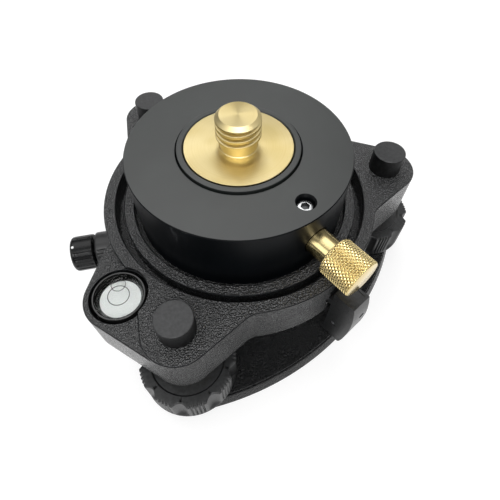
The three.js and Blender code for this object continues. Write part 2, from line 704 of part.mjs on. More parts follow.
const leverHalfDeg = THREE.MathUtils.radToDeg(Math.asin((LEVER_WIDTH / 2 + LOOSE) / chamberRadius));

// The lever stands at the locked end of its slot
function leverSlot() {
  const inner = chamberRadius - OVERRUN;
  const outer = rimRadius + OVERRUN;
  const centre = new THREE.Vector2(0, 0);
  const from = LEVER_AZIMUTH_DEG - leverHalfDeg;
  const to = LEVER_AZIMUTH_DEG + CLAMP_TRAVEL_DEG + leverHalfDeg;
  return slab([...arc(centre, outer, from, to), ...arc(centre, inner, to, from)], chamberFloor, webBottom);
}

const coverScrewCircle = (chamberRadius + cavityRadius) / 2;
const coverScrewAngles = footAngles.map((angle) => angle + COVER_SCREW_FIRST_DEG);
const housingScrewTop = hubFace + HOUSING_SCREW_BITE;

function makeUpperBody() {
  const outline = bodyOutline();
  const overlap = BODY_HEIGHT / 4;
  const lower = slab(outline, bodyBottom, plateTop - overlap, BODY_FOOT_ROUND, 2);
  const upper = slab(outline, bodyBottom + overlap, plateTop, BODY_TOP_ROUND, 1);
  const vialLower = slab(vialLobeOutline(), bodyBottom, vialLobeTop - overlap, BODY_FOOT_ROUND, 2);
  const vialUpper = slab(vialLobeOutline(), bodyBottom + overlap, vialLobeTop, BODY_TOP_ROUND, 1);
  const whole = joined([lower, upper, vialLower, vialUpper]);
  const bushBore = turned([
    [0, bodyBottom - OVERRUN], [BUSH_RADIUS + SEAT, bodyBottom - OVERRUN],
    [BUSH_RADIUS + SEAT, plateTop - BUSH_TOP_DROP], [capSpigotRadius + SEAT, plateTop - BUSH_TOP_DROP],
    [capSpigotRadius + SEAT, plateTop + OVERRUN], [0, plateTop + OVERRUN],
  ]);
  const levelHole = turned([
    [0, bodyBottom - OVERRUN], [LEVEL_SCREW_HEAD_RADIUS + LOOSE, bodyBottom - OVERRUN],
    [LEVEL_SCREW_HEAD_RADIUS + LOOSE, levelScrewHeadTop + SEAT],
    [LEVEL_SCREW_RADIUS + LOOSE, levelScrewHeadTop + SEAT],
    [LEVEL_SCREW_RADIUS + LOOSE, vialLobeTop], [0, vialLobeTop],
  ], SMALL_SEGMENTS);
  const vialRecess = rod(vialRecessRadius, levelBottom - LOOSE, plateTop + OVERRUN);
  const hub = rod(hubRadius, hubFace, webBottom + OVERRUN);
  const chamber = rod(chamberRadius, bodyBottom - OVERRUN, webBottom, WIDE_SEGMENTS);
  const cavity = rod(cavityRadius, bodyBottom - OVERRUN, chamberFloor, WIDE_SEGMENTS);
  return cut(whole, [
    pipe(grooveOuterRadius, seatRingOuterRadius, grooveFloor, plateTop + OVERRUN, WIDE_SEGMENTS),
    rod(seatRingOuterRadius + SEAT, seatRingTop, plateTop + OVERRUN, WIDE_SEGMENTS),
    rod(seatRingInnerRadius, seatFloor, plateTop + OVERRUN, WIDE_SEGMENTS),
    chamber.add(cavity).subtract(hub),
    around(bushBore, footCircleRadius, footAngles),
    vialRecess.translate([vialPlace.x, vialPlace.y, 0]),
    levelScrewSet(levelHole),
    around(rod(PRONG_RADIUS + LOOSE, webBottom - OVERRUN, seatFloor + OVERRUN, FINE_SEGMENTS),
      prongCircleRadius, footAngles),
    around(rod(COVER_SCREW_RADIUS + SEAT, chamberFloor - OVERRUN, chamberFloor + COVER_SCREW_BITE + SEAT,
      SMALL_SEGMENTS), coverScrewCircle, coverScrewAngles),
    around(rod(HOUSING_SCREW_RADIUS + SEAT, hubFace - OVERRUN, housingScrewTop + SEAT, SMALL_SEGMENTS),
      housingScrewCircleRadius, footAngles),
    leverSlot(),
    laid(rod(TUBE_RADIUS + LOOSE, -rimRadius - OVERRUN, -chamberRadius, FINE_SEGMENTS), sightHeight),
  ]);
}

function makeFootBush() {
  const top = plateTop - BUSH_TOP_DROP - SEAT;
  const under = bodyBottom - SEAT;
  const bore = SPINDLE_RADIUS + RUN;
  return turned([
    [bore, under - BUSH_FLANGE_HEIGHT], [BUSH_FLANGE_RADIUS, under - BUSH_FLANGE_HEIGHT],
    [BUSH_FLANGE_RADIUS, under], [BUSH_RADIUS, under], [BUSH_RADIUS, top], [bore, top],
    [bore, under - BUSH_FLANGE_HEIGHT],
  ], FINE_SEGMENTS);
}

function makeDustCap() {
  const foot = plateTop + SEAT;
  const top = foot + CAP_HEIGHT - SEAT;
  const round = [0, 45, 90].map((tilt) => [
    capRadius - CAP_ROUND * (1 - Math.cos(rad(tilt))), top - CAP_ROUND * (1 - Math.sin(rad(tilt)))]);
  return turned([
    [capBoreRadius, plateTop - CAP_SPIGOT_DEPTH], [capSpigotRadius, plateTop - CAP_SPIGOT_DEPTH],
    [capSpigotRadius, foot], [capRadius, foot], ...round, [0, top],
    [0, top - CAP_ROOF], [capBoreRadius, top - CAP_ROOF], [capBoreRadius, plateTop - CAP_SPIGOT_DEPTH],
  ], MID_SEGMENTS);
}

function makeRingCover() {
  return cut(rod(cavityRadius - LOOSE, coverBottom, coverTop, WIDE_SEGMENTS), [
    rod(hubRadius + LOOSE, coverBottom - OVERRUN, coverTop + OVERRUN),
    around(rod(PRONG_RADIUS + 2 * LOOSE, coverBottom - OVERRUN, coverTop + OVERRUN, FINE_SEGMENTS),
      prongCircleRadius, footAngles),
    around(rod(COVER_SCREW_RADIUS + SEAT, coverBottom - OVERRUN, coverTop + OVERRUN, SMALL_SEGMENTS),
      coverScrewCircle, coverScrewAngles),
  ]);
}

function makeCoverScrew() {
  const length = chamberFloor + COVER_SCREW_BITE - coverBottom + SEAT;
  const screw = capScrew(COVER_SCREW_RADIUS, length, COVER_SCREW_HEAD_RADIUS, COVER_SCREW_HEAD_HEIGHT);
  return upsideDown(screw).translate([0, 0, coverBottom - SEAT]);
}

function makeLevelCup() {
  const cup = turned([
    [0, levelBottom], [LEVEL_RADIUS, levelBottom], [LEVEL_RADIUS, levelTop],
    [LEVEL_MOUTH_RADIUS, levelTop], [LEVEL_BORE_RADIUS, levelDiscTop],
    [LEVEL_BORE_RADIUS, levelBottom + LEVEL_FLOOR], [0, levelBottom + LEVEL_FLOOR],
  ]);
  const thread = rod(LEVEL_SCREW_RADIUS + SEAT, levelBottom - OVERRUN,
    levelBottom + LEVEL_SCREW_GRIP + SEAT, SMALL_SEGMENTS);
  return cut(cup, [around(thread, LEVEL_SCREW_CIRCLE_RADIUS, levelScrewAngles)]);
}

// A disc that fills the cup's tapered mouth from one height to another
function mouthDisc(from, to) {
  const widening = (LEVEL_MOUTH_RADIUS - LEVEL_BORE_RADIUS) / (levelTop - levelDiscTop);
  const [low, high] = [from, to].map((height) => (
    LEVEL_BORE_RADIUS - SEAT + widening * (height - levelDiscTop)));
  return turned([[0, from], [low, from], [high, to], [0, to]]);
}

function makeLevelFluid() {
  const pool = mouthDisc(levelDiscTop + SEAT, levelFluidTop);
  const pocket = turned([
    [0, levelFluidTop - LEVEL_BUBBLE_DEPTH], [LEVEL_BUBBLE_RADIUS / 2, levelFluidTop - LEVEL_BUBBLE_DEPTH],
    [LEVEL_BUBBLE_RADIUS, levelFluidTop + SEAT], [0, levelFluidTop + SEAT],
  ], FINE_SEGMENTS);
  return cut(pool, [pocket.translate(placed(LEVEL_BUBBLE_OFFSET, LEVEL_BUBBLE_AZIMUTH_DEG))]);
}

function makeLevelScrew() {
  const length = levelBottom + LEVEL_SCREW_GRIP - levelScrewHeadTop;
  const screw = capScrew(LEVEL_SCREW_RADIUS, length, LEVEL_SCREW_HEAD_RADIUS, LEVEL_SCREW_HEAD_HEIGHT);
  return upsideDown(screw).translate([0, 0, levelScrewHeadTop]);
}

const housingBottom = hubFace - SEAT - HOUSING_HEIGHT;
const focusRingStart = rimRadius + 2 * LOOSE;
const eyepieceStart = focusRingStart + FOCUS_RING_LENGTH + EYEPIECE_GAP;
const tubeEnd = eyepieceStart - LOOSE;

function makePlummetHousing() {
  const top = hubFace - SEAT;
  const flangeBottom = top - HOUSING_FLANGE_THICKNESS;
  const column = turned([
    [0, housingBottom], [HOUSING_RADIUS, housingBottom], [HOUSING_RADIUS, flangeBottom],
    [housingFlangeRadius, flangeBottom], [housingFlangeRadius, top], [0, top],
  ]);
  const tube = laid(rod(TUBE_RADIUS, -tubeEnd, 0, FINE_SEGMENTS), sightHeight);
  return cut(column.add(tube), [
    rod(housingBoreRadius, housingBottom - OVERRUN, top - HOUSING_ROOF),
    laid(rod(TUBE_BORE_RADIUS, -tubeEnd - OVERRUN, 0, FINE_SEGMENTS), sightHeight),
    around(rod(HOUSING_SCREW_RADIUS + SEAT, flangeBottom - OVERRUN, top + OVERRUN, SMALL_SEGMENTS),
      housingScrewCircleRadius, footAngles),
  ]);
}

function makeHousingScrew() {
  const under = hubFace - 2 * SEAT - HOUSING_FLANGE_THICKNESS;
  const screw = capScrew(HOUSING_SCREW_RADIUS, housingScrewTop - under, HOUSING_SCREW_HEAD_RADIUS,
    HOUSING_SCREW_HEAD_HEIGHT);
  return upsideDown(screw).translate([0, 0, under]);
}

// A right-angled prism that turns the line of sight down
function makePrism() {
  const half = PRISM_LEG / 2;
  const face = [[-half, -half], [half, -half], [-half, half]].map(([x, y]) => new THREE.Vector2(x, y));
  return slab(face, -half, half).rotate([90, 0, 0]).translate([0, 0, sightHeight]);
}

function lens(radius, edge, crown) {
  const shares = [[1, 0], [0.6, 0.64], [0, 1]];
  const front = shares.map(([r, z]) => [radius * r, edge / 2 + crown * z]);
  const back = shares.map(([r, z]) => [radius * r, -edge / 2 - crown * z]).reverse();
  return turned([...back, ...front], FINE_SEGMENTS);
}

function makeObjective() {
  const middle = housingBottom + OBJECTIVE_RISE + OBJECTIVE_THICKNESS / 2;
  const edge = OBJECTIVE_THICKNESS - 2 * LENS_CROWN;
  return lens(housingBoreRadius - LOOSE, edge, LENS_CROWN).translate([0, 0, middle]);
}

// Groups of fine grooves round a ring, with smooth bands between
function groovedOutline(radius) {
  const period = 360 / RING_RIB_GROUPS;
  const pitch = (period * RING_GROOVE_SHARE) / RING_GROOVES;
  const grooveShares = [[0.2, 0], [0.5, 1], [0.8, 0]];
  const bandShares = [0.33, 0.66];
  const points = [];
  for (let i = 0; i < RING_RIB_GROUPS; i += 1) {
    for (let j = 0; j < RING_GROOVES; j += 1) {
      for (const [share, sunk] of grooveShares) {
        points.push(polar(radius - RING_GROOVE_DEPTH * sunk, i * period + pitch * (j + share)));
      }
    }
    for (const share of bandShares) {
      points.push(polar(radius, i * period + period * (RING_GROOVE_SHARE + share * (1 - RING_GROOVE_SHARE))));
    }
  }
  return points;
}

// Pieces on the line of sight are made along +Z and laid out along -X by this group
function sightGroup() {
  const group = new THREE.Group();
  group.rotation.y = -Math.PI / 2;
  group.position.z = sightHeight;
  return group;
}

function makeFocusRing() {
  const shape = slab(groovedOutline(FOCUS_RING_RADIUS), focusRingStart, focusRingStart + FOCUS_RING_LENGTH);
  return cut(shape, [rod(TUBE_RADIUS + LOOSE, 0, tubeEnd + OVERRUN, FINE_SEGMENTS)]);
}

const focusCellRadius = TUBE_BORE_RADIUS - 2 * RUN;
const eyeBoreRadius = TUBE_BORE_RADIUS - 2 * RUN - EYEPIECE_WALL;
const eyepieceEnd = eyepieceStart + EYEPIECE_LENGTH;

function makeEyepieceRing() {
  const grip = slab(groovedOutline(EYEPIECE_RADIUS), eyepieceStart, eyepieceEnd - EYEPIECE_ROUND);
  const neck = EYEPIECE_RADIUS - RING_GROOVE_DEPTH;
  const nose = turned([
    [0, eyepieceEnd - 2 * EYEPIECE_ROUND], [neck, eyepieceEnd - 2 * EYEPIECE_ROUND],
    [neck, eyepieceEnd - EYEPIECE_ROUND], [neck - EYEPIECE_ROUND, eyepieceEnd], [0, eyepieceEnd],
  ]);
  const spigot = rod(TUBE_BORE_RADIUS - 2 * RUN, eyepieceStart - EYEPIECE_SPIGOT_LENGTH,
    eyepieceStart + OVERRUN, FINE_SEGMENTS);
  const bore = turned([
    [0, 0], [eyeBoreRadius, 0], [eyeBoreRadius, eyepieceEnd - EYE_CONE_DEPTH],
    [EYE_CONE_RADIUS, eyepieceEnd + SEAT], [0, eyepieceEnd + SEAT],
  ], FINE_SEGMENTS);
  return cut(joined([grip, nose, spigot]), [bore]);
}

function makeClampRing() {
  const middle = ringOuterRadius - LEVER_TAB_LENGTH / 2;
  const lapFloor = ringTop - LEVER_TAB_THICKNESS - SEAT;
  const lap = block([LEVER_TAB_LENGTH + 2 * LOOSE, LEVER_WIDTH + 2 * LOOSE, RING_THICKNESS],
    [middle, 0, lapFloor + RING_THICKNESS / 2]);
  const centre = new THREE.Vector2(0, 0);
  const half = PRONG_WAIST_RADIUS + LOOSE;
  const far = -CLAMP_TRAVEL_DEG;
  const slot = slab([
    ...arc(centre, prongCircleRadius + half, far, 0),
    ...arc(polar(prongCircleRadius, 0), half, 0, 180, RING_SLOT_CHORDS).slice(1, -1),
    ...arc(centre, prongCircleRadius - half, 0, far),
    ...arc(polar(prongCircleRadius, far), half, far - 180, far, RING_SLOT_CHORDS).slice(1, -1),
  ], ringBottom - OVERRUN, ringTop + OVERRUN);
  const mouth = rod(PRONG_RADIUS + LOOSE, ringBottom - OVERRUN, ringTop + OVERRUN, FINE_SEGMENTS)
    .translate(placed(prongCircleRadius, far));
  const opening = slot.add(mouth);
  return cut(pipe(ringOuterRadius, ringInnerRadius, ringBottom, ringTop, WIDE_SEGMENTS), [
    joined(footAngles.map((angle) => opening.rotate([0, 0, angle]))),
    lap.add(leverScrewHoles()).rotate([0, 0, LEVER_AZIMUTH_DEG]),
  ]);
}

const leverScrewSides = [-1, 1];

// Holes for the two lever screws, along the lever's own radius
function leverScrewHoles() {
  const middle = ringOuterRadius - LEVER_TAB_LENGTH / 2;
  const hole = turned([
    [0, ringBottom - OVERRUN], [LEVER_SCREW_HEAD_RADIUS + SEAT, ringBottom - OVERRUN],
    [LEVER_SCREW_HEAD_RADIUS + SEAT, ringBottom + LEVER_SCREW_HEAD_HEIGHT + 2 * SEAT],
    [LEVER_SCREW_RADIUS + SEAT, ringBottom + LEVER_SCREW_HEAD_HEIGHT + 2 * SEAT],
    [LEVER_SCREW_RADIUS + SEAT, ringTop + OVERRUN], [0, ringTop + OVERRUN],
  ], SMALL_SEGMENTS);
  return joined(leverScrewSides.map((side) => hole.translate([middle, side * LEVER_SCREW_SPACING / 2, 0])));
}

function makeLeverScrew() {
  const under = ringBottom + LEVER_SCREW_HEAD_HEIGHT + SEAT;
  return upsideDown(capScrew(LEVER_SCREW_RADIUS, ringTop - under - SEAT, LEVER_SCREW_HEAD_RADIUS,
    LEVER_SCREW_HEAD_HEIGHT)).translate([0, 0, under]);
}

const leverTop = plateTop - LEVER_TOP_DROP;
const leverBottom = leverTop - LEVER_HEIGHT;

// The lever's side: its outer face bulges and its foot is rounded
function leverOutline() {
  const sideShares = [
    [0, 0.16], [0.3, 0.02], [0.42, 0], [0.7, 0], [0.8, 0.05], [0.86, 0.16], [0.88, 0.4],
    [0.94, 0.66], [0.99, 0.86], [0.99, 0.93], [0.86, 1], [0, 1],
  ];
  const outerShares = { low: 0.7, high: 1 };
  const faceShare = 0.86; // of the depth, that isn't bulge
  const span = outerShares.high - outerShares.low;
  return sideShares.map(([out, up]) => {
    const bulge = out > outerShares.low ? (out - outerShares.low) / span : 0;
    const reach = Math.min(out, outerShares.low) / outerShares.low;
    const face = LEVER_DEPTH * faceShare;
    return new THREE.Vector2(
      leverInner + reach * face + bulge * (LEVER_DEPTH - face), leverBottom + up * LEVER_HEIGHT);
  });
}

function makeClampLever() {
  const blade = slab(leverOutline(), -LEVER_WIDTH / 2, LEVER_WIDTH / 2, LEVER_CHAMFER)
    .rotate([90, 0, 0]);
  const tabInner = ringOuterRadius - LEVER_TAB_LENGTH;
  const tabOuter = leverInner + LEVER_CHAMFER + SEAT;
  const armInner = chamberRadius + 2 * LOOSE;
  const width = LEVER_WIDTH - 2 * LOOSE;
  const armThickness = RING_THICKNESS - LOOSE;
  const tab = block([tabOuter - tabInner, width, LEVER_TAB_THICKNESS],
    [(tabOuter + tabInner) / 2, 0, ringTop - LEVER_TAB_THICKNESS / 2]);
  const arm = block([tabOuter - armInner, width, armThickness],
    [(tabOuter + armInner) / 2, 0, ringTop - armThickness / 2]);
  const mark = block([2 * LEVER_MARK_DEPTH, LEVER_MARK_LENGTH, LEVER_MARK_WIDTH],
    [leverOuter, 0, leverTop - LEVER_MARK_DROP]);
  const setHole = rod(SET_SCREW_RADIUS + SEAT, -OVERRUN, SET_SCREW_LENGTH + LOOSE + SEAT, SMALL_SEGMENTS)
    .rotate([-90, 0, 0])
    .translate([leverOuter - SET_SCREW_INSET, -LEVER_WIDTH / 2, leverBottom + SET_SCREW_RISE]);
  return cut(joined([blade, tab, arm]), [mark, setHole, leverScrewHoles()]);
}

function makeSetScrew() {
  const plug = rod(SET_SCREW_RADIUS, 0, SET_SCREW_LENGTH, SMALL_SEGMENTS);
  const socket = slab(hexagon(SET_SCREW_RADIUS * HEX_SOCKET_SHARE), -OVERRUN,
    SET_SCREW_LENGTH * SOCKET_DEPTH_SHARE);
  return cut(plug, [socket]).rotate([-90, 0, 0])
    .translate([leverOuter - SET_SCREW_INSET, -LEVER_WIDTH / 2 + LOOSE, leverBottom + SET_SCREW_RISE]);
}

const shellBottom = adapterBottom + PRONG_PLATE_THICKNESS + SEAT;
const flangeTop = adapterTop + COLLAR_RISE + FLANGE_PROUD;
const flangeBottom = flangeTop - FLANGE_THICKNESS;
const nutRadius = CORE_THREAD_RADIUS + SEAT + NUT_WALL;

function radialBore(radius, from, to) {
  return laid(rod(radius, from, to, FINE_SEGMENTS), clampHeight).rotate([0, 0, CLAMP_AZIMUTH_DEG]);
}

function makeAdapterBody() {
  const shell = turned([
    [nutWellRadius, shellBottom], [adapterRadius, shellBottom],
    [adapterRadius, adapterTop - ADAPTER_CHAMFER],
    [adapterRadius - ADAPTER_CHAMFER, adapterTop], [collarRadius + LOOSE, adapterTop],
    [collarRadius + LOOSE, bearingTop], [coreBushRadius + SEAT, bearingTop],
    [coreBushRadius + SEAT, bearingBottom], [nutWellRadius, bearingBottom],
    [nutWellRadius, shellBottom],
  ], WIDE_SEGMENTS);
  const screwHole = turned([
    [0, clampHeight], [BUSH_SCREW_RADIUS + SEAT, clampHeight],
    [BUSH_SCREW_RADIUS + SEAT, adapterTop - BUSH_SCREW_SINK - BUSH_SCREW_HEAD_HEIGHT - SEAT],
    [bushScrewWellRadius, adapterTop - BUSH_SCREW_SINK - BUSH_SCREW_HEAD_HEIGHT - SEAT],
    [bushScrewWellRadius, adapterTop + OVERRUN], [0, adapterTop + OVERRUN],
  ], FINE_SEGMENTS);
  return cut(shell, [
    radialBore(CLAMP_BUSH_RADIUS + LOOSE, CORE_RADIUS, adapterRadius + OVERRUN),
    screwHole.translate(placed(adapterRadius - BUSH_SCREW_INSET, CLAMP_AZIMUTH_DEG)),
    around(rod(PRONG_SPIGOT_RADIUS + SEAT, shellBottom - OVERRUN,
      shellBottom + PRONG_SPIGOT_LENGTH, FINE_SEGMENTS), prongCircleRadius, footAngles),
  ]);
}

// The three prongs stand on a plate under the adapter
function makeProngPlate() {
  const top = adapterBottom + PRONG_PLATE_THICKNESS;
  const bottom = adapterBottom - PRONG_LENGTH;
  const lip = PRONG_RADIUS - PRONG_WAIST_RADIUS;
  const prong = turned([
    [0, bottom], [PRONG_RADIUS - PRONG_CHAMFER, bottom], [PRONG_RADIUS, bottom + PRONG_CHAMFER],
    [PRONG_RADIUS, ringBottom - LOOSE - lip], [PRONG_WAIST_RADIUS, ringBottom - LOOSE],
    [PRONG_WAIST_RADIUS, ringTop + LOOSE], [PRONG_RADIUS, ringTop + LOOSE],
    [PRONG_RADIUS, adapterBottom + SEAT], [PRONG_SPIGOT_RADIUS, adapterBottom + SEAT],
    [PRONG_SPIGOT_RADIUS, top + PRONG_SPIGOT_LENGTH], [0, top + PRONG_SPIGOT_LENGTH],
  ], SMALL_SEGMENTS);
  const plate = pipe(adapterRadius - PRONG_PLATE_INSET, nutWellRadius, adapterBottom, top, WIDE_SEGMENTS);
  return plate.add(around(prong, prongCircleRadius, footAngles));
}

function makeSpindle() {
  const collarTop = adapterTop + COLLAR_RISE;
  const recessFloor = flangeBottom - SEAT;
  const spigotFloor = recessFloor - FLANGE_SPIGOT_LENGTH;
  const step = bearingBottom - SEAT;
  return turned([
    [0, spindleTail], [CORE_THREAD_RADIUS, spindleTail],
    [CORE_THREAD_RADIUS, step], [CORE_RADIUS, step], [CORE_RADIUS, headBottom], [collarRadius, headBottom],
    [collarRadius, collarTop], [FLANGE_RADIUS + LOOSE, collarTop], [FLANGE_RADIUS + LOOSE, recessFloor],
    [FLANGE_SPIGOT_RADIUS + SEAT, recessFloor], [FLANGE_SPIGOT_RADIUS + SEAT, spigotFloor], [0, spigotFloor],
  ], WIDE_SEGMENTS);
}

function makeSpindleBush() {
  return cut(pipe(coreBushRadius, CORE_RADIUS + RUN, bearingBottom, bearingTop, WIDE_SEGMENTS), [
    radialBore(PAD_NOSE_RADIUS + LOOSE, 0, coreBushRadius + OVERRUN),
  ]);
}

function makeSpindleNut() {
  return cut(slab(hexagon(nutRadius), nutTop - NUT_HEIGHT, nutTop), [
    rod(CORE_THREAD_RADIUS + SEAT, nutTop - NUT_HEIGHT - OVERRUN, nutTop + OVERRUN, WIDE_SEGMENTS),
  ]);
}

// The flange and its stud are one turned piece; the thread's turns are rings
function makeStudFlange() {
  const threadBottom = flangeTop + STUD_NECK_HEIGHT;
  const studTop = flangeTop + STUD_HEIGHT;
  const crests = threadProfile(threadBottom, STUD_TURNS, TRIPOD_THREAD_RADIUS, THREAD_DEPTH);
  const lastCrest = threadBottom + STUD_TURNS * THREAD_PITCH;
  return turned([
    [0, flangeBottom - FLANGE_SPIGOT_LENGTH + SEAT],
    [FLANGE_SPIGOT_RADIUS, flangeBottom - FLANGE_SPIGOT_LENGTH + SEAT], [FLANGE_SPIGOT_RADIUS, flangeBottom],
    [FLANGE_RADIUS, flangeBottom], [FLANGE_RADIUS, flangeTop - FLANGE_CHAMFER],
    [FLANGE_RADIUS - FLANGE_CHAMFER, flangeTop], [STUD_NECK_RADIUS, flangeTop],
    ...crests, [TRIPOD_THREAD_RADIUS - THREAD_DEPTH, lastCrest],
    [TRIPOD_THREAD_RADIUS, lastCrest + THREAD_PITCH / 4], [TRIPOD_THREAD_RADIUS, studTop - STUD_LEAD_CHAMFER],
    [STUD_FACE_RADIUS, studTop], [0, studTop],
  ], MID_SEGMENTS);
}

// Pieces on the clamp screw's axis are made along +Z and laid out along the clamp's azimuth
function clampGroup() {
  const group = new THREE.Group();
  group.rotation.order = 'ZYX';
  group.rotation.set(0, Math.PI / 2, rad(CLAMP_AZIMUTH_DEG));
  group.position.z = clampHeight;
  return group;
}

const clampBushEnd = adapterRadius + CLAMP_BUSH_OUTSTAND;
const clampKnobStart = clampBushEnd + CLAMP_KNOB_GAP;
const padStart = CORE_RADIUS + PAD_TRAVEL + RUN;
const clampBushStart = padStart + PAD_LENGTH + LOOSE + CLAMP_TIP_LENGTH;

function makeClampKnob() {
  const end = clampKnobStart + CLAMP_KNOB_LENGTH;
  const tip = padStart + PAD_LENGTH + LOOSE;
  return turned([
    [0, tip], [CLAMP_SCREW_RADIUS, tip], [CLAMP_SCREW_RADIUS, clampKnobStart],
    [CLAMP_KNOB_RADIUS - CLAMP_KNOB_CHAMFER, clampKnobStart],
    [CLAMP_KNOB_RADIUS, clampKnobStart + CLAMP_KNOB_CHAMFER], [CLAMP_KNOB_RADIUS, end - CLAMP_KNOB_CHAMFER],
    [CLAMP_KNOB_RADIUS - CLAMP_KNOB_CHAMFER, end], [0, end],
  ]);
}

function makeClampPad() {
  const shoulder = padStart + PAD_NOSE_LENGTH;
  return turned([
    [0, padStart], [PAD_NOSE_RADIUS, padStart], [PAD_NOSE_RADIUS, shoulder], [padRadius, shoulder],
    [padRadius, padStart + PAD_LENGTH], [0, padStart + PAD_LENGTH],
  ], FINE_SEGMENTS);
}

function makeBushScrew() {
  const underHead = adapterTop - BUSH_SCREW_SINK - BUSH_SCREW_HEAD_HEIGHT;
  const length = underHead - (clampHeight + CLAMP_BUSH_RADIUS + SEAT);
  return capScrew(BUSH_SCREW_RADIUS, length, BUSH_SCREW_HEAD_RADIUS, BUSH_SCREW_HEAD_HEIGHT)
    .translate([0, 0, underHead]);
}

// The base stands on the tripod head
const base = new THREE.Group();
base.add(
  named('base_plate', makeBasePlate(), casting()),
  named('spring_plate', makeSpringPlate(), casting()),
  named('thread_insert', makeThreadInsert(), brass()),
  ...namedSet('spring_plate_screw', makePlateScrew(), steel(), plateScrewCircleRadius, plateScrewAngles),
);

// Foot screws stand in the base and carry the upper body
const feet = new THREE.Group();
feet.add(
  ...namedSet('foot_knob', makeFootKnob(), moulded(), footCircleRadius, footAngles),
  ...namedSet('foot_spindle', makeFootSpindle(), steel(), footCircleRadius, footAngles),
);

const upper = new THREE.Group();
upper.add(
  named('upper_body', makeUpperBody(), casting()),
  named('ring_cover', makeRingCover(), steel()),
  ...namedSet('ring_cover_screw', makeCoverScrew(), steel(), coverScrewCircle, coverScrewAngles),
  ...namedSet('foot_bush', makeFootBush(), brass(), footCircleRadius, footAngles),
  ...namedSet('dust_cap', makeDustCap(), moulded(), footCircleRadius, footAngles),
);

const level = new THREE.Group();
level.position.set(vialPlace.x, vialPlace.y, 0);
level.add(
  named('level_cup', makeLevelCup(), anodised()),
  named('level_disc', rod(LEVEL_BORE_RADIUS - SEAT, levelBottom + LEVEL_FLOOR + SEAT, levelDiscTop),
    finish(WHITE, 0.5, 0)),
  named('level_fluid', makeLevelFluid(), clear()),
  named('level_glass', mouthDisc(levelFluidTop + SEAT, levelGlassTop), clear()),
  ...namedSet('level_screw', makeLevelScrew(), steel(), LEVEL_SCREW_CIRCLE_RADIUS, levelScrewAngles),
);

const plummet = new THREE.Group();
plummet.add(
  named('plummet_housing', makePlummetHousing(), anodised()),
  ...namedSet('plummet_screw', makeHousingScrew(), steel(), housingScrewCircleRadius, footAngles),
  named('plummet_prism', makePrism(), clear()),
  named('objective_lens', makeObjective(), clear()),
);
const sight = sightGroup();
const reticleStart = rimRadius - RETICLE_INSET;
const cellEnd = reticleStart - FOCUS_CELL_GAP - FOCUS_TRAVEL;
const cellStart = cellEnd - FOCUS_CELL_LENGTH;
sight.add(
  named('reticle', rod(TUBE_BORE_RADIUS - LOOSE, reticleStart, reticleStart + RETICLE_THICKNESS,
    FINE_SEGMENTS), clear()),
  named('focus_cell', pipe(focusCellRadius, focusCellRadius - FOCUS_CELL_WALL, cellStart, cellEnd,
    FINE_SEGMENTS), anodised()),
  named('focus_lens', lens(focusCellRadius - FOCUS_CELL_WALL - SEAT, LENS_EDGE_THICKNESS, LENS_CROWN)
    .translate([0, 0, (cellStart + cellEnd) / 2]), clear()),
  named('focus_ring', makeFocusRing(), anodised()),
  named('eyepiece_ring', makeEyepieceRing(), moulded()),
  named('eyepiece_lens', lens(eyeBoreRadius - SEAT, LENS_EDGE_THICKNESS, LENS_CROWN)
    .translate([0, 0, eyepieceEnd - EYE_LENS_DEPTH]), clear()),
);
plummet.add(sight);

// The lever turns the clamp ring on the vertical axis
const clamp = new THREE.Group();
const lever = new THREE.Group();
lever.rotation.z = rad(LEVER_AZIMUTH_DEG);
lever.add(
  named('clamp_lever', makeClampLever(), casting()),
  ...leverScrewSides.map((side, i) => named(`lever_screw_${setLetters[i]}`, makeLeverScrew(), steel(),
    [ringOuterRadius - LEVER_TAB_LENGTH / 2, side * LEVER_SCREW_SPACING / 2, 0])),
  named('lever_set_screw', makeSetScrew(), steel()),
);
clamp.add(named('clamp_ring', makeClampRing(), steel()), lever);

const adapter = new THREE.Group();
adapter.add(
  named('adapter_body', makeAdapterBody(), anodised()),
  named('prong_plate', makeProngPlate(), steel()),
  named('spindle_bush', makeSpindleBush(), bronze()),
  named('spindle', makeSpindle(), anodised()),
  named('spindle_washer', pipe(washerRadius, CORE_THREAD_RADIUS + SEAT, washerTop - WASHER_THICKNESS,
    washerTop), steel()),
  named('spindle_nut', makeSpindleNut(), steel()),
  named('stud_flange', makeStudFlange(), brass()),
);
adapter.add(named('bush_screw', makeBushScrew(), steel(),
  placed(adapterRadius - BUSH_SCREW_INSET, CLAMP_AZIMUTH_DEG)));
const clampScrew = clampGroup();
clampScrew.add(
  named('clamp_bush', pipe(CLAMP_BUSH_RADIUS, CLAMP_SCREW_RADIUS + RUN, clampBushStart,
    clampBushEnd), brass()),
  named('clamp_knob', makeClampKnob(), brass()),
  named('clamp_pad', makeClampPad(), moulded()),
);
adapter.add(clampScrew);

const tribrach = new THREE.Group();
tribrach.name = 'tribrach';
tribrach.add(base, feet, upper, level, plummet, clamp, adapter);

export default tribrach;
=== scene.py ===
"""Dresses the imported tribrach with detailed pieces, finishes, a studio and a camera.

Sizes are in millimetres in the part's own frame: the origin lies on the vertical axis at the
underside of the base, +Z is up and +X points to foot screw A. Meshes are scaled to metres last.
"""
import logging
import math
from abc import ABC, abstractmethod
from dataclasses import dataclass
from enum import Enum
from typing import Callable, Sequence

import bmesh
import bpy
from mathutils import Matrix, Vector


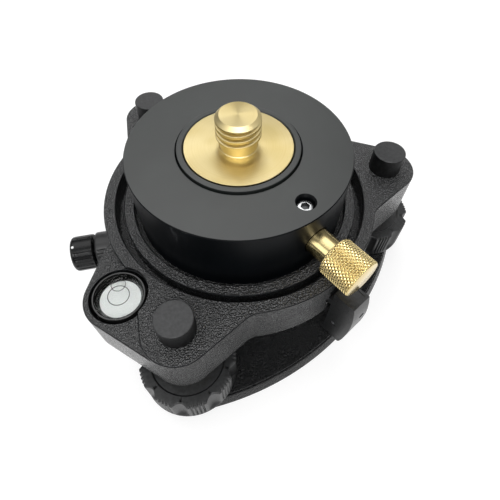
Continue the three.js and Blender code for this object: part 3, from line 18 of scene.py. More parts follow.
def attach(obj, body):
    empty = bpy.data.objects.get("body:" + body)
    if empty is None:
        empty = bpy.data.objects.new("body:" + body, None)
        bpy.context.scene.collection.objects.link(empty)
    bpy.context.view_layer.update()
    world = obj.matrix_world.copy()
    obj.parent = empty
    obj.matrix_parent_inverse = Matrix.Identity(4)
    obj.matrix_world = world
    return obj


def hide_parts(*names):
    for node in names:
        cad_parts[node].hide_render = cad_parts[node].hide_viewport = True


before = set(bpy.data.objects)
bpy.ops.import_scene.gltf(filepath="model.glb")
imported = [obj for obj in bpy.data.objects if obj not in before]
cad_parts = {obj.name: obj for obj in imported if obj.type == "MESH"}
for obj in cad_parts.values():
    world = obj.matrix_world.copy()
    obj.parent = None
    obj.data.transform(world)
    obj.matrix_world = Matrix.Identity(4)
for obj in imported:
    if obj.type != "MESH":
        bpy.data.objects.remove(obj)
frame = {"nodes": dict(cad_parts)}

log = logging.getLogger("tribrach")

MM = 0.001
OVER = 2.0  # how far a cutting form stands out of what it cuts
NEAR = 0.01  # how close a point lies to a wall that it belongs to
FULL_TURN = 2 * math.pi
Profile = Sequence[tuple[float, float]]
Point = tuple[float, float]
Colour = tuple[float, float, float]
Socket = bpy.types.NodeSocket


class Axis(Enum):
    """Directions that a turned piece can be laid along."""

    UP = "up"
    SIGHT = "sight"
    CLAMP = "clamp"


class Cut(Enum):
    """Ways to combine two solids."""

    DIFFERENCE = "DIFFERENCE"
    UNION = "UNION"


@dataclass(frozen=True)
class Datum:
    """Radii and heights that several pieces share, in millimetres."""

    seat: float = 0.1
    foot_circle: float = 62.05
    feet: tuple[float, ...] = (0.0, 120.0, 240.0)
    base_top: float = 5.8
    spring_plate_top: float = 6.8
    knob_bottom: float = 7.1
    knob_top: float = 20.1
    body_bottom: float = 25.5
    plate_top: float = 47.8
    vial_lobe_top: float = 46.0
    seat_ring_top: float = 46.1
    groove_floor: float = 40.0
    seat_floor: float = 41.5
    web_bottom: float = 37.0
    chamber_floor: float = 32.8
    hub_face: float = 31.6
    ring_top: float = 36.6
    sight_height: float = 22.8
    rim: float = 53.95
    groove_outer: float = 49.44
    seat_ring_outer: float = 46.37
    seat_ring_inner: float = 42.46
    cavity: float = 48.5
    chamber: float = 44.6
    hub: float = 18.0
    adapter_radius: float = 40.75
    shell_bottom: float = 43.7
    adapter_top: float = 71.0
    collar_top: float = 71.97
    flange_top: float = 71.99
    stud_top: float = 85.09
    clamp_azimuth: float = 298.6
    clamp_height: float = 57.5
    lever_azimuth: float = 300.0
    vial_azimuth: float = 216.8
    vial_circle: float = 61.7
    plate_screw_circle: float = 42.2
    housing_screw_circle: float = 14.25
    bush_screw_circle: float = 33.6
    level_screw_circle: float = 6.2
    bubble_offset: float = 4.9
    bubble_azimuth: float = 93.0
    lever_screw_reach: float = 58.7
    lever_screw_height: float = 23.0
    thread_radius: float = 7.94
    thread_pitch: float = 2.31


DATUM = Datum()


def share(value: float) -> float:
    """Keeps a value between 0 and 1."""
    return min(1.0, max(0.0, value))


def zigzag(turns: float) -> float:
    """Rises from 0 to 1 and falls back to 0 in every turn."""
    return 1 - abs(2 * (turns % 1) - 1)


def polar(radius: float, degrees: float, centre: Point = (0.0, 0.0)) -> Point:
    """Gives the point at a radius and an angle from a centre."""
    angle = math.radians(degrees)
    return centre[0] + radius * math.cos(angle), centre[1] + radius * math.sin(angle)


def arc(centre: Point, radius: float, start: float, end: float, steps: int) -> list[Point]:
    """Gives points along an arc.

    Args:
        centre: middle of the arc.
        radius: its radius.
        start: first angle in degrees.
        end: last angle in degrees.
        steps: number of chords.

    Returns:
        steps + 1 points, both ends included.
    """
    return [polar(radius, start + (end - start) * i / steps, centre) for i in range(steps + 1)]


def low_edge(radius: float, low: float, edge: float) -> list[Point]:
    """Gives a chamfer from an underside to an outer wall."""
    return [(radius - edge, low), (radius, low + edge)]


def high_edge(radius: float, high: float, edge: float) -> list[Point]:
    """Gives a chamfer from an outer wall to a top."""
    return [(radius, high - edge), (radius - edge, high)]


def wall(radius: float, low: float, high: float, rows: int) -> list[Point]:
    """Gives evenly spaced points up a wall, both ends included."""
    return [(radius, low + (high - low) * i / rows) for i in range(rows + 1)]


def brow(radius: float, high: float, edge: float, middle: float = 0.3) -> list[Point]:
    """Gives a rounded edge of three points under a top, of a bore where the edge is below 0."""
    drop = abs(edge)
    return [(radius, high - drop), (radius - edge * middle, high - drop * middle), (radius - edge, high)]


VIAL_PLACE = polar(DATUM.vial_circle, DATUM.vial_azimuth)
BUBBLE_PLACE = polar(DATUM.bubble_offset, DATUM.bubble_azimuth, VIAL_PLACE)


class Form:
    """A closed mesh under construction, in millimetres."""

    def __init__(self, mesh: bmesh.types.BMesh | None = None) -> None:
        self.mesh = bmesh.new() if mesh is None else mesh

    @classmethod
    def turned(cls, profile: Profile, segments: int = 96) -> "Form":
        """Revolves a profile of (radius, height) points about Z.

        Args:
            profile: points that start and end on the axis, or form a closed loop.
            segments: number of steps round the axis.

        Returns:
            The closed form.
        """
        form = cls()
        bm = form.mesh
        verts = [bm.verts.new((r, 0.0, z)) for r, z in profile]
        edges = [bm.edges.new(pair) for pair in zip(verts, verts[1:])]
        bmesh.ops.spin(bm, geom=verts + edges, cent=(0, 0, 0), axis=(0, 0, 1),
                       angle=FULL_TURN, steps=segments, use_merge=True)
        bmesh.ops.remove_doubles(bm, verts=bm.verts, dist=1e-5)
        return form.closed()

    @classmethod
    def rod(cls, radius: float, low: float, high: float, edge: float = 0.0, segments: int = 64) -> "Form":
        """Makes a round bar, its two edges chamfered by edge."""
        profile = [(0, low), *low_edge(radius, low, edge), *high_edge(radius, high, edge), (0, high)]
        return cls.turned(list(dict.fromkeys(profile)), segments)

    @classmethod
    def pipe(cls, outer: float, inner: float, low: float, high: float, edge: float = 0.0,
             segments: int = 96) -> "Form":
        """Makes a tube, its four edges chamfered by edge."""
        profile = list(dict.fromkeys([
            (inner + edge, low), *low_edge(outer, low, edge), *high_edge(outer, high, edge),
            (inner + edge, high), (inner, high - edge), (inner, low + edge),
        ]))
        return cls.turned([*profile, profile[0]], segments)

    @classmethod
    def stepped(cls, wide: float, narrow: float, low: float, seat: float, high: float,
                segments: int = 64) -> "Form":
        """Makes a round bar that is wide up to its seat and narrow above."""
        return cls.turned([(0, low), (wide, low), (wide, seat), (narrow, seat), (narrow, high), (0, high)],
                          segments)

    @classmethod
    def stacked(cls, outline: Callable[[float], list[Point]], levels: Profile) -> "Form":
        """Stacks outlines into a solid with rounded or drafted sides.

        Args:
            outline: gives the outline's points for an inset; each inset has as many points.
            levels: (inset, height) pairs from the bottom to the top.

        Returns:
            The closed form.
        """
        form = cls()
        bm = form.mesh
        rings = []
        for inset, height in levels:
            verts = [bm.verts.new((x, y, height)) for x, y in outline(inset)]
            rings.append([bm.edges.new((a, b)) for a, b in zip(verts, verts[1:] + verts[:1])])
        for lower, upper in zip(rings, rings[1:]):
            bmesh.ops.bridge_loops(bm, edges=lower + upper)
        for ring in (rings[0], rings[-1]):
            bmesh.ops.contextual_create(bm, geom=ring)
        return form.closed()

    @classmethod
    def prism(cls, points: Sequence[Point], low: float, high: float) -> "Form":
        """Extrudes an outline from one height to another."""
        return cls.stacked(lambda inset: list(points), [(0, low), (0, high)])

    def closed(self) -> "Form":
        """Turns every face outwards."""
        bmesh.ops.recalc_face_normals(self.mesh, faces=self.mesh.faces)
        return self

    def bevel(self, width: float, segments: int, chosen: Callable[[bmesh.types.BMEdge], bool]) -> "Form":
        """Rounds the edges that a test chooses."""
        edges = [edge for edge in self.mesh.edges if chosen(edge)]
        bmesh.ops.bevel(self.mesh, geom=edges, offset=width, segments=segments, profile=0.5,
                        affect="EDGES", clamp_overlap=True)
        return self.closed()

    def radially(self, rule: Callable[[float, float, float], float]) -> "Form":
        """Moves every vertex out or in from the Z axis.

        Args:
            rule: gives the new radius for a radius, an angle in degrees and a height.

        Returns:
            This form.
        """
        for vert in self.mesh.verts:
            x, y, z = vert.co
            radius = math.hypot(x, y)
            if radius:
                factor = rule(radius, math.degrees(math.atan2(y, x)), z) / radius
                vert.co.x, vert.co.y = x * factor, y * factor
        return self

    def moved(self, x: float = 0.0, y: float = 0.0, z: float = 0.0) -> "Form":
        """Shifts the form."""
        self.mesh.transform(Matrix.Translation((x, y, z)))
        return self

    def turned_by(self, degrees: float, axis: str = "Z") -> "Form":
        """Turns the form about an axis through the origin."""
        self.mesh.transform(Matrix.Rotation(math.radians(degrees), 4, axis))
        return self

    def laid(self, axis: Axis) -> "Form":
        """Lays a form that was made along +Z along a named axis of the part."""
        if axis is Axis.SIGHT:
            self.turned_by(-90, "Y").moved(z=DATUM.sight_height)
        elif axis is Axis.CLAMP:
            self.turned_by(90, "Y").turned_by(DATUM.clamp_azimuth).moved(z=DATUM.clamp_height)
        return self

    def with_all(self, *others: "Form") -> "Form":
        """Adds other forms that don't touch this one."""
        for other in others:
            spare = bpy.data.meshes.new("spare")
            other.mesh.to_mesh(spare)
            self.mesh.from_mesh(spare)
            bpy.data.meshes.remove(spare)
        return self

    def in_threes(self, circle: float, turn: float = 0.0, centre: Point = (0.0, 0.0)) -> "Form":
        """Repeats the form on a circle, at the feet's angles and a turn more."""
        first, *others = [Form(self.mesh.copy()).moved(*polar(circle, foot + turn, centre))
                          for foot in DATUM.feet]
        return first.with_all(*others)

    def combined(self, other: "Form", how: Cut) -> "Form":
        """Joins or cuts this form with another by an exact boolean."""
        target, tool = self._spare("target"), other._spare("tool")
        modifier = target.modifiers.new(how.name.lower(), "BOOLEAN")
        modifier.operation = how.value
        modifier.solver = "EXACT"
        modifier.object = tool
        depsgraph = bpy.context.evaluated_depsgraph_get()
        result = bpy.data.meshes.new_from_object(target.evaluated_get(depsgraph))
        self.mesh.clear()
        self.mesh.from_mesh(result)
        for spare in (target, tool):
            mesh = spare.data
            bpy.data.objects.remove(spare)
            bpy.data.meshes.remove(mesh)
        bpy.data.meshes.remove(result)
        bmesh.ops.remove_doubles(self.mesh, verts=self.mesh.verts, dist=1e-4)
        bmesh.ops.dissolve_degenerate(self.mesh, edges=self.mesh.edges, dist=1e-4)
        return self.closed()

    def less(self, *tools: "Form") -> "Form":
        """Cuts other forms out of this one."""
        for tool in tools:
            self.combined(tool, Cut.DIFFERENCE)
        return self

    def plus(self, *others: "Form") -> "Form":
        """Joins other forms to this one."""
        for other in others:
            self.combined(other, Cut.UNION)
        return self

    def _spare(self, name: str) -> bpy.types.Object:
        mesh = bpy.data.meshes.new(name)
        self.mesh.to_mesh(mesh)
        spare = bpy.data.objects.new(name, mesh)
        bpy.context.scene.collection.objects.link(spare)
        return spare

    def finished(self, name: str, crease: float = 32.0) -> bpy.types.Object:
        """Turns the form into an object in metres, smooth but for its sharp edges.

        Args:
            name: the object's name.
            crease: edges that turn by more than this many degrees stay sharp.

        Returns:
            The linked object.
        """
        limit = math.radians(crease)
        self.mesh.transform(Matrix.Scale(MM, 4))
        for face in self.mesh.faces:
            face.smooth = True
        for edge in self.mesh.edges:
            edge.smooth = len(edge.link_faces) == 2 and edge.calc_face_angle(0.0) < limit
        mesh = bpy.data.meshes.new(name)
        self.mesh.to_mesh(mesh)
        self.mesh.free()
        made = bpy.data.objects.new(name, mesh)
        bpy.context.scene.collection.objects.link(made)
        weights = made.modifiers.new("weighted_normals", "WEIGHTED_NORMAL")
        weights.keep_sharp = True
        return made


class Finish(ABC):
    """A surface finish that makes its own material."""

    name: str

    @abstractmethod
    def paint(self, nodes: "Nodes") -> None:
        """Adds the finish's nodes."""

    def material(self) -> bpy.types.Material:
        """Gives the finish's material, made once."""
        name = f"{self.name}_finish"
        known = bpy.data.materials.get(name)
        if known:
            return known
        material = bpy.data.materials.new(name)
        material.use_nodes = True
        self.paint(Nodes(material.node_tree))
        return material


class Nodes:
    """Short ways to add shader nodes to one material or world."""

    def __init__(self, tree: bpy.types.NodeTree, place: str = "Object") -> None:
        self.tree = tree
        self.shader = tree.nodes.get("Principled BSDF")
        self.place = self.add("TexCoord").outputs[place]

    def fill(self, node: bpy.types.Node, **values: object) -> None:
        """Sets or links a node's inputs, their names written with underscores."""
        for name, value in values.items():
            target = node.inputs[name.replace("_", " ").title().replace("Ior", "IOR")]
            if isinstance(value, Socket):
                self.tree.links.new(value, target)
            else:
                target.default_value = value

    def add(self, kind: str, **values: object) -> bpy.types.Node:
        """Adds a node of a kind and fills its inputs."""
        node = self.tree.nodes.new(f"ShaderNode{kind}")
        self.fill(node, **values)
        return node

    def set(self, **values: object) -> None:
        """Sets or links the shader's own inputs."""
        self.fill(self.shader, **values)

    def noise(self, size_mm: float, detail: float = 2.0, roughness: float = 0.5,
              stretch: tuple[float, float, float] | None = None) -> Socket:
        """Adds a noise whose blotches are about size_mm wide, or squeezed by the stretch."""
        where = self.place
        if stretch:
            where = self.add("Mapping", vector=where, scale=stretch).outputs["Vector"]
        return self.add("TexNoise", vector=where, scale=1 / (size_mm * MM), detail=detail,
                        roughness=roughness).outputs["Fac"]

    def cells(self, size_mm: float) -> Socket:
        """Adds the distance from the middles of cells about size_mm wide."""
        return self.add("TexVoronoi", vector=self.place, scale=1 / (size_mm * MM)).outputs["Distance"]

    def ramp(self, source: Socket, low: float, high: float, start: float = 0.3, end: float = 0.7) -> Socket:
        """Maps a value between start and end to one between low and high."""
        return self.add("MapRange", value=source, from_min=start, from_max=end, to_min=low,
                        to_max=high).outputs["Result"]

    def rough(self, source: Socket, middle: float, under: float, over: float) -> None:
        """Lets a value vary the roughness from under below a middle value to over above it."""
        self.set(roughness=self.ramp(source, middle - under, middle + over))

    def math(self, operation: str, first: Socket, second: Socket | float = 0.0) -> Socket:
        """Adds a math node."""
        node = self.add("Math")
        node.operation = operation
        self.tree.links.new(first, node.inputs[0])
        if isinstance(second, Socket):
            self.tree.links.new(second, node.inputs[1])
        else:
            node.inputs[1].default_value = second
        return node.outputs[0]

    def colour(self, source: Socket, first: Colour, last: Colour, start: float = 0.3,
               end: float = 0.7) -> None:
        """Colours the surface from first to last as a value goes from start to end."""
        ramp = self.add("ValToRGB", fac=source)
        for element, position, shade in zip(ramp.color_ramp.elements, (start, end), (first, last)):
            element.position, element.color = position, (*shade, 1)
        self.set(base_color=ramp.outputs["Color"])

    def tinted(self, source: Socket, tint: Colour, first: float, last: float, *span: float) -> None:
        """Colours the surface from first to last times a tint."""
        shades = (tuple(factor * channel for channel in tint) for factor in (first, last))
        self.colour(source, *shades, *span)

    def bump(self, *layers: tuple[Socket, float, float]) -> None:
        """Adds bumps: (height, depth in millimetres, strength) for each layer."""
        under: dict[str, Socket] = {}
        for height, depth_mm, strength in layers:
            node = self.add("Bump", strength=strength, distance=depth_mm * MM, height=height, **under)
            under = {"normal": node.outputs["Normal"]}
        self.set(**under)

    def rings(self, axis: Axis, size_mm: float, detail: float = 2.0) -> Socket:
        """Adds turning marks about size_mm wide round an axis."""
        quarter = math.pi / 2
        turn = {Axis.UP: (0, 0, 0), Axis.SIGHT: (0, -quarter, 0),
                Axis.CLAMP: (0, quarter, math.radians(DATUM.clamp_azimuth))}[axis]
        mapping = self.add("Mapping", vector=self.place, rotation=turn)
        mapping.vector_type = "TEXTURE"
        split = self.add("SeparateXYZ", vector=mapping.outputs["Vector"]).outputs
        squares = self.math("ADD", *(self.math("MULTIPLY", split[name], split[name]) for name in "XY"))
        marks = self.add("TexNoise", scale=1 / (size_mm * MM), detail=detail)
        marks.noise_dimensions = "1D"
        self.fill(marks, w=self.math("SQRT", squares))
        return marks.outputs["Fac"]

    def background(self) -> Socket:
        """Gives 1 for rays that show the background, from the camera, gloss or glass."""
        path = self.add("LightPath").outputs
        gloss = self.math("MAXIMUM", path["Is Camera Ray"], path["Is Glossy Ray"])
        return self.math("MAXIMUM", gloss, path["Is Transmission Ray"])


@dataclass(frozen=True)
class Casting(Finish):
    """Black wrinkle paint on a casting, its pebble crests painted lighter and its hollows darker as painted
    highlight and shade.
    """

    name: str = "black_casting"
    tint: Colour = (0.0025, 0.0029, 0.0033)
    crest: Colour = (0.075, 0.078, 0.081)
    grain_mm: float = 0.72
    depth_mm: float = 0.3
    roughness: float = 0.18
    gloss: float = 1.0

    def paint(self, nodes: Nodes) -> None:
        pebbles = nodes.cells(self.grain_mm)
        fine = nodes.noise(self.grain_mm * 0.5, 2.0, 0.6)
        height = nodes.math("ADD", nodes.ramp(pebbles, 1.0, 0.0, 0.05, 0.7), nodes.ramp(fine, -0.25, 0.25))
        # Colour runs from tint in the grain's hollows to crest on its tops: painted shade in the hollows,
        # painted highlight on the crests.
        nodes.colour(height, self.tint, self.crest, 0.45, 0.95)
        nodes.rough(nodes.noise(9.0), self.roughness, 0.05, 0.08)
        nodes.bump((height, self.depth_mm, 0.9))
        nodes.set(specular_ior_level=self.gloss)


@dataclass(frozen=True)
class Anodised(Finish):
    """Satin black anodising with fine turning marks about an axis."""

    name: str = "black_anodised"
    tint: Colour = (0.009, 0.0115, 0.0105)
    roughness: float = 0.42
    gloss: float = 0.9
    marks_mm: float = 0.12
    axis: Axis = Axis.UP

    def paint(self, nodes: Nodes) -> None:
        rings = nodes.rings(self.axis, self.marks_mm)
        nodes.tinted(nodes.noise(14.0, 3.0), self.tint, 1.0, 1.5)
        nodes.rough(rings, self.roughness, 0.04, 0.06)
        nodes.bump((rings, 0.004, 0.5), (nodes.noise(0.16), 0.006, 0.5))
        nodes.set(specular_ior_level=self.gloss)


@dataclass(frozen=True)
class Moulded(Finish):
    """Matte black moulded plastic or rubber."""

    name: str = "black_moulding"
    tint: Colour = (0.005, 0.0052, 0.0055)
    roughness: float = 0.5
    gloss: float = 0.72
    grain_mm: float = 0.3

    def paint(self, nodes: Nodes) -> None:
        grain = nodes.noise(self.grain_mm, 3.0, 0.6)
        nodes.tinted(nodes.noise(1.2, 4.0, 0.7), self.tint, 1.0, 6.0, 0.32, 0.72)
        nodes.rough(grain, self.roughness, 0.06, 0.1)
        nodes.bump((grain, 0.03, 0.8))
        nodes.set(specular_ior_level=self.gloss)


@dataclass(frozen=True)
class Brass(Finish):
    """Turned brass, its marks running round an axis."""

    name: str = "turned_brass"
    dark: Colour = (0.64, 0.51, 0.22)
    light: Colour = (0.8, 0.68, 0.38)
    roughness: float = 0.4
    marks_mm: float = 0.3
    axis: Axis = Axis.UP
    spun: bool = True

    def paint(self, nodes: Nodes) -> None:
        rings = nodes.rings(self.axis, self.marks_mm, 4.0)
        shade = nodes.math("ADD", nodes.ramp(nodes.noise(16.0), 0.0, 0.7), nodes.ramp(rings, 0.0, 0.3))
        nodes.colour(shade, self.dark, self.light, 0.1, 0.9)
        nodes.rough(rings, self.roughness, 0.05, 0.07)
        nodes.bump((rings, 0.012, 0.7))
        nodes.set(metallic=1.0)
        if self.spun:
            tangent = nodes.add("Tangent")
            tangent.direction_type, tangent.axis = "RADIAL", "Z"
            nodes.set(tangent=tangent.outputs["Tangent"], anisotropic=0.8)


@dataclass(frozen=True)
class Steel(Finish):
    """Bright or dull steel with a fine brushed grain."""

    name: str = "steel"
    tint: Colour = (0.52, 0.53, 0.54)
    roughness: float = 0.3

    def paint(self, nodes: Nodes) -> None:
        grain = nodes.noise(0.5, 4.0, 0.6, (1.0, 1.0, 12.0))
        nodes.tinted(nodes.noise(3.0), self.tint, 0.72, 1.0)
        nodes.rough(grain, self.roughness, 0.06, 0.1)
        nodes.bump((grain, 0.004, 0.5))
        nodes.set(metallic=1.0)


@dataclass(frozen=True)
class Clear(Finish):
    """Glass or liquid."""

    name: str = "clear_glass"
    tint: Colour = (0.995, 1.0, 0.998)
    refraction: float = 1.08
    clouding_mm: float = 4.0

    def paint(self, nodes: Nodes) -> None:
        film = nodes.noise(self.clouding_mm)
        nodes.tinted(film, self.tint, 0.995, 1.0, 0.2, 0.8)
        nodes.rough(film, 0.0, 0.0, 0.04)
        nodes.set(transmission_weight=1.0, ior=self.refraction)


@dataclass(frozen=True)
class Enamel(Finish):
    """White enamel with faint specks."""

    name: str = "white_enamel"
    tint: Colour = (0.9, 0.91, 0.9)

    def paint(self, nodes: Nodes) -> None:
        specks = nodes.noise(1.5, 3.0)
        nodes.tinted(specks, self.tint, 0.96, 1.0)
        nodes.rough(specks, 0.3, 0.0, 0.12)


CASTING = Casting()
# A darker, duller copy of the casting for the base and the spring plate: painted shade for the body's
# shadow over them.
SHADED_BASE_CASTING = Casting(name="base_casting_painted_shade", crest=(0.012, 0.0125, 0.013), roughness=0.25, gloss=0.25)
SMOOTH_PAINT = Moulded(name="smooth_paint", tint=(0.004, 0.0042, 0.0044), roughness=0.32, gloss=0.55)
# Darker, duller paint for the upper body's rounded top edges: painted shade for the dark line along them.
PAINTED_EDGE_SHADE = Moulded(name="painted_edge_shade", tint=(0.0015, 0.0017, 0.002), roughness=0.4, gloss=0.22)
ANODISED = Anodised()
# A darker, duller copy of the anodising for walls: painted shade on sides that face away from the light.
ANODISED_SHADED_WALL = Anodised(name="black_anodised_shaded_wall", tint=(0.0014, 0.002, 0.0027), gloss=0.12)
ANODISED_SIGHT = Anodised(name="black_anodised_sight", tint=(0.005, 0.0052, 0.0056), gloss=0.6,
                          axis=Axis.SIGHT)
POLISHED = Moulded(name="polished_black", tint=(0.003, 0.003, 0.003), roughness=0.16, gloss=0.7)
EYEPIECE_GLOSS = Moulded(name="eyepiece_black", tint=(0.001, 0.0011, 0.0012), roughness=0.22, gloss=0.3)
MOULDED = Moulded()
# A darker, duller copy of the moulding for the caps' sides: painted shade.
CAP_SHADED_WALL = Moulded(name="cap_shaded_wall", tint=(0.0025, 0.0026, 0.0027), roughness=0.5, gloss=0.2)
KNOB_MOULDING = Moulded(name="knob_moulding", tint=(0.004, 0.0042, 0.0044), roughness=0.4, gloss=0.6)
# Dark ink for the level's printed circle, also used as painted shade at the bubble's edge.
INK_AND_BUBBLE_SHADE = Moulded(name="target_ink_and_bubble_shade", tint=(0.004, 0.004, 0.004), roughness=0.5, gloss=0.2)
BRASS = Brass()
BRASS_CLAMP = Brass(name="turned_brass_clamp", dark=(0.74, 0.57, 0.24), light=(0.87, 0.72, 0.37),
                    roughness=0.19, axis=Axis.CLAMP, spun=False)
BRONZE = Brass(name="bronze", dark=(0.36, 0.2, 0.08), light=(0.5, 0.3, 0.13))
STEEL = Steel()
# Bright steel, also used as a painted highlight in the lever set screw's socket.
BRIGHT_STEEL_AND_GLINT = Steel(name="bright_steel_and_glint", tint=(0.72, 0.73, 0.74), roughness=0.2)
# Dark steel, also used as painted shade in the bush screw's socket.
DARK_STEEL_AND_SHADE = Steel(name="dark_steel_and_shade", tint=(0.16, 0.165, 0.17), roughness=0.4)
GLASS = Clear()
FLUID = Clear(name="level_liquid", tint=(0.99, 1.0, 0.995), refraction=1.16)
ENAMEL = Enamel()


@dataclass(frozen=True)
class BaseOutline:
    """The base's triangle with bulging sides and rounded corners."""

    side_radius: float = 121.0
    side_reach: float = 61.2
    corner_radius: float = 15.0

    def points(self, inset: float) -> list[Point]:
        """Gives the outline, drawn in by an inset all round."""
        side, corner = self.side_radius - inset, self.corner_radius - inset
        back = self.side_radius - self.side_reach
        across = back * math.sin(math.radians(60))
        along = math.sqrt((side - corner) ** 2 - across ** 2)
        reach = along - back * math.cos(math.radians(60))
        turn = math.degrees(math.atan2(across, along))
        points: list[Point] = []
        for foot in DATUM.feet:
            points += arc(polar(reach, foot), corner, foot - turn, foot + turn, 16)
            middle, half = foot + 60, 60 - turn
            points += arc(polar(back, middle + 180), side, middle - half, middle + half, 36)[1:-1]
        return points


@dataclass(frozen=True)
class BodyOutline:
    """The upper body's rim with its three lobes, and the lobe of the level."""

    lobe_radius: float = 12.2
    flank: float = 60.0
    fillet_radius: float = 8.0
    rim_tuck: float = 0.3
    lead: float = 12.0

    def fillet_turn(self, circle: float) -> float:
        """Gives the angle between a lobe's middle and its fillets' centres."""
        reach = circle * math.cos(math.radians(self.flank)) + self.lobe_radius
        away = math.acos((reach + self.fillet_radius) / (DATUM.rim + self.fillet_radius))
        return self.flank - math.degrees(away)

    def fillet(self, azimuth: float, circle: float, inset: float, side: int) -> list[Point]:
        """Gives a fillet, from the rim to the flank on side -1 and back on side 1."""
        turn = self.fillet_turn(circle)
        centre = polar(DATUM.rim + self.fillet_radius, azimuth + side * turn)
        at_rim, at_flank = azimuth + side * turn + 180, azimuth + side * self.flank + 180
        ends = (at_rim, at_flank) if side < 0 else (at_flank, at_rim)
        return arc(centre, self.fillet_radius + inset, *ends, 10)

    def body(self, inset: float) -> list[Point]:
        """Gives the rim and the foot lobes."""
        turn = self.fillet_turn(DATUM.foot_circle)
        points: list[Point] = []
        for foot in DATUM.feet:
            centre = polar(DATUM.foot_circle, foot)
            points += self.fillet(foot, DATUM.foot_circle, inset, -1)
            points += arc(centre, self.lobe_radius - inset, foot - self.flank, foot + self.flank, 24)
            points += self.fillet(foot, DATUM.foot_circle, inset, 1)
            points += arc((0, 0), DATUM.rim - inset, foot + turn, foot + 120 - turn, 24)[1:-1]
        return points

    def vial(self, inset: float) -> list[Point]:
        """Gives the level's lobe, closed inside the body."""
        azimuth, circle = DATUM.vial_azimuth, DATUM.vial_circle
        start = azimuth - self.fillet_turn(circle) - self.lead
        foot = DATUM.feet[2]
        here, there = polar(circle, azimuth), polar(DATUM.foot_circle, foot)
        tangent = math.degrees(math.atan2(there[1] - here[1], there[0] - here[0])) + 270
        return [
            polar(DATUM.rim - self.rim_tuck - inset, start),
            *self.fillet(azimuth, circle, inset, -1),
            *arc(here, self.lobe_radius - inset, azimuth - self.flank, tangent, 20),
            polar(self.lobe_radius - inset, tangent, there),
            there,
            *arc((0, 0), DATUM.seat_ring_inner, foot, start, 16),
        ]


BASE_OUTLINE = BaseOutline()
BODY_OUTLINE = BodyOutline()


def hexagon(radius: float) -> list[Point]:
    """Gives a hexagon's corners."""
    return [polar(radius, 60 * i) for i in range(6)]


def shown(form: Form, name: str, finish: Finish, body: str) -> bpy.types.Object:
    """Turns a form into a finished object that rides with a body.

    Args:
        form: the shape in millimetres.
        name: the object's name.
        finish: its finish.
        body: the body that it moves with.

    Returns:
        The object.
    """
    made = form.finished(name)
    made.data.materials.append(finish.material())
    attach(made, body)
    return made


@dataclass
class Part(ABC):
    """A visible piece that stands for one node of the frame."""

    node: str
    body: str
    slot: str
    finish: Finish
    second: Finish | None = None

    @abstractmethod
    def form(self) -> Form:
        """Makes the piece's shape in millimetres."""

    def is_second(self, centre: Vector, normal: Vector) -> bool:
        """Says whether a face, its centre in millimetres, has the second finish."""
        return False

    def build(self) -> bpy.types.Object:
        """Makes the piece, finishes it, and puts it in its node's place.

        Returns:
            The finished object.
        """
        made = shown(self.form(), f"{self.node}_look", self.finish, self.body)
        if self.second:
            made.data.materials.append(self.second.material())
            for face in made.data.polygons:
                face.material_index = int(self.is_second(face.center / MM, face.normal))
        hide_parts(self.node)
        log.info("%s: %d faces", made.name, len(made.data.polygons))
        return made


@dataclass
class BasePlate(Part):
    """The base casting with its tripod hole and ball sockets."""

    height: float = 5.2
    draft: float = 1.5
    step_inset: float = 2.2
    edge: float = 0.5
    bore: float = 13.1
    socket: float = 4.1
    socket_floor: float = 1.0

    def form(self) -> Form:
        top, edge = self.draft + self.step_inset, self.edge
        plate = Form.stacked(BASE_OUTLINE.points, [
            (edge, 0), (edge * 0.3, edge * 0.3), (0.1, edge), (self.draft - edge * 0.2, self.height - edge),
            (self.draft + edge * 0.2, self.height - edge * 0.25), (self.draft + edge, self.height),
            (top, self.height), (top, DATUM.base_top),
        ])
        high = DATUM.base_top + OVER
        sockets = Form.rod(self.socket, self.socket_floor, high, segments=48).in_threes(DATUM.foot_circle)
        return plate.less(Form.rod(self.bore, -OVER, high).with_all(sockets))


@dataclass
class SpringPlate(Part):
    """The sheet over the base that holds the foot balls down."""

    inset: float = 2.1
    round: float = 0.25
    centre_hole: float = 20.0
    neck_hole: float = 2.9
    screw_hole: float = 1.6

    def form(self) -> Form:
        low, high, half = DATUM.base_top + DATUM.seat, DATUM.spring_plate_top, self.round / 2
        plate = Form.stacked(BASE_OUTLINE.points, [
            (self.inset + half, low), (self.inset, low + half), *brow(self.inset, high, -self.round),
        ])
        ends = low - OVER, high + OVER
        return plate.less(Form.rod(self.centre_hole, *ends, segments=128).with_all(
            Form.rod(self.neck_hole, *ends, segments=40).in_threes(DATUM.foot_circle),
            Form.rod(self.screw_hole, *ends, segments=32).in_threes(DATUM.plate_screw_circle, 60),
        ))


@dataclass
class ThreadInsert(Part):
    """The threaded bush in the middle of the base."""

    outer: float = 13.0
    crest: float = 6.69
    edge: float = 0.3
    relief: float = 0.2
    steepness: float = 1.6
    land: float = 0.3
    rows: int = 24

    def form(self) -> Form:
        low, high, mouth = DATUM.seat, DATUM.base_top, DATUM.thread_radius + self.relief
        bore = wall(DATUM.thread_radius, low, high, self.rows)
        return Form.turned([
            (mouth, low), *low_edge(self.outer, low, self.edge), *high_edge(self.outer, high, self.edge),
            (mouth, high), *bore[-2:0:-1], (mouth, low),
        ]).radially(self._threaded)

    def _threaded(self, radius: float, angle: float, height: float) -> float:
        if abs(radius - DATUM.thread_radius) > NEAR:
            return radius
        wave = 1 - zigzag(height / DATUM.thread_pitch - angle / 360)
        rise = share(self.steepness * wave - self.land)
        return DATUM.thread_radius - (DATUM.thread_radius - self.crest) * rise


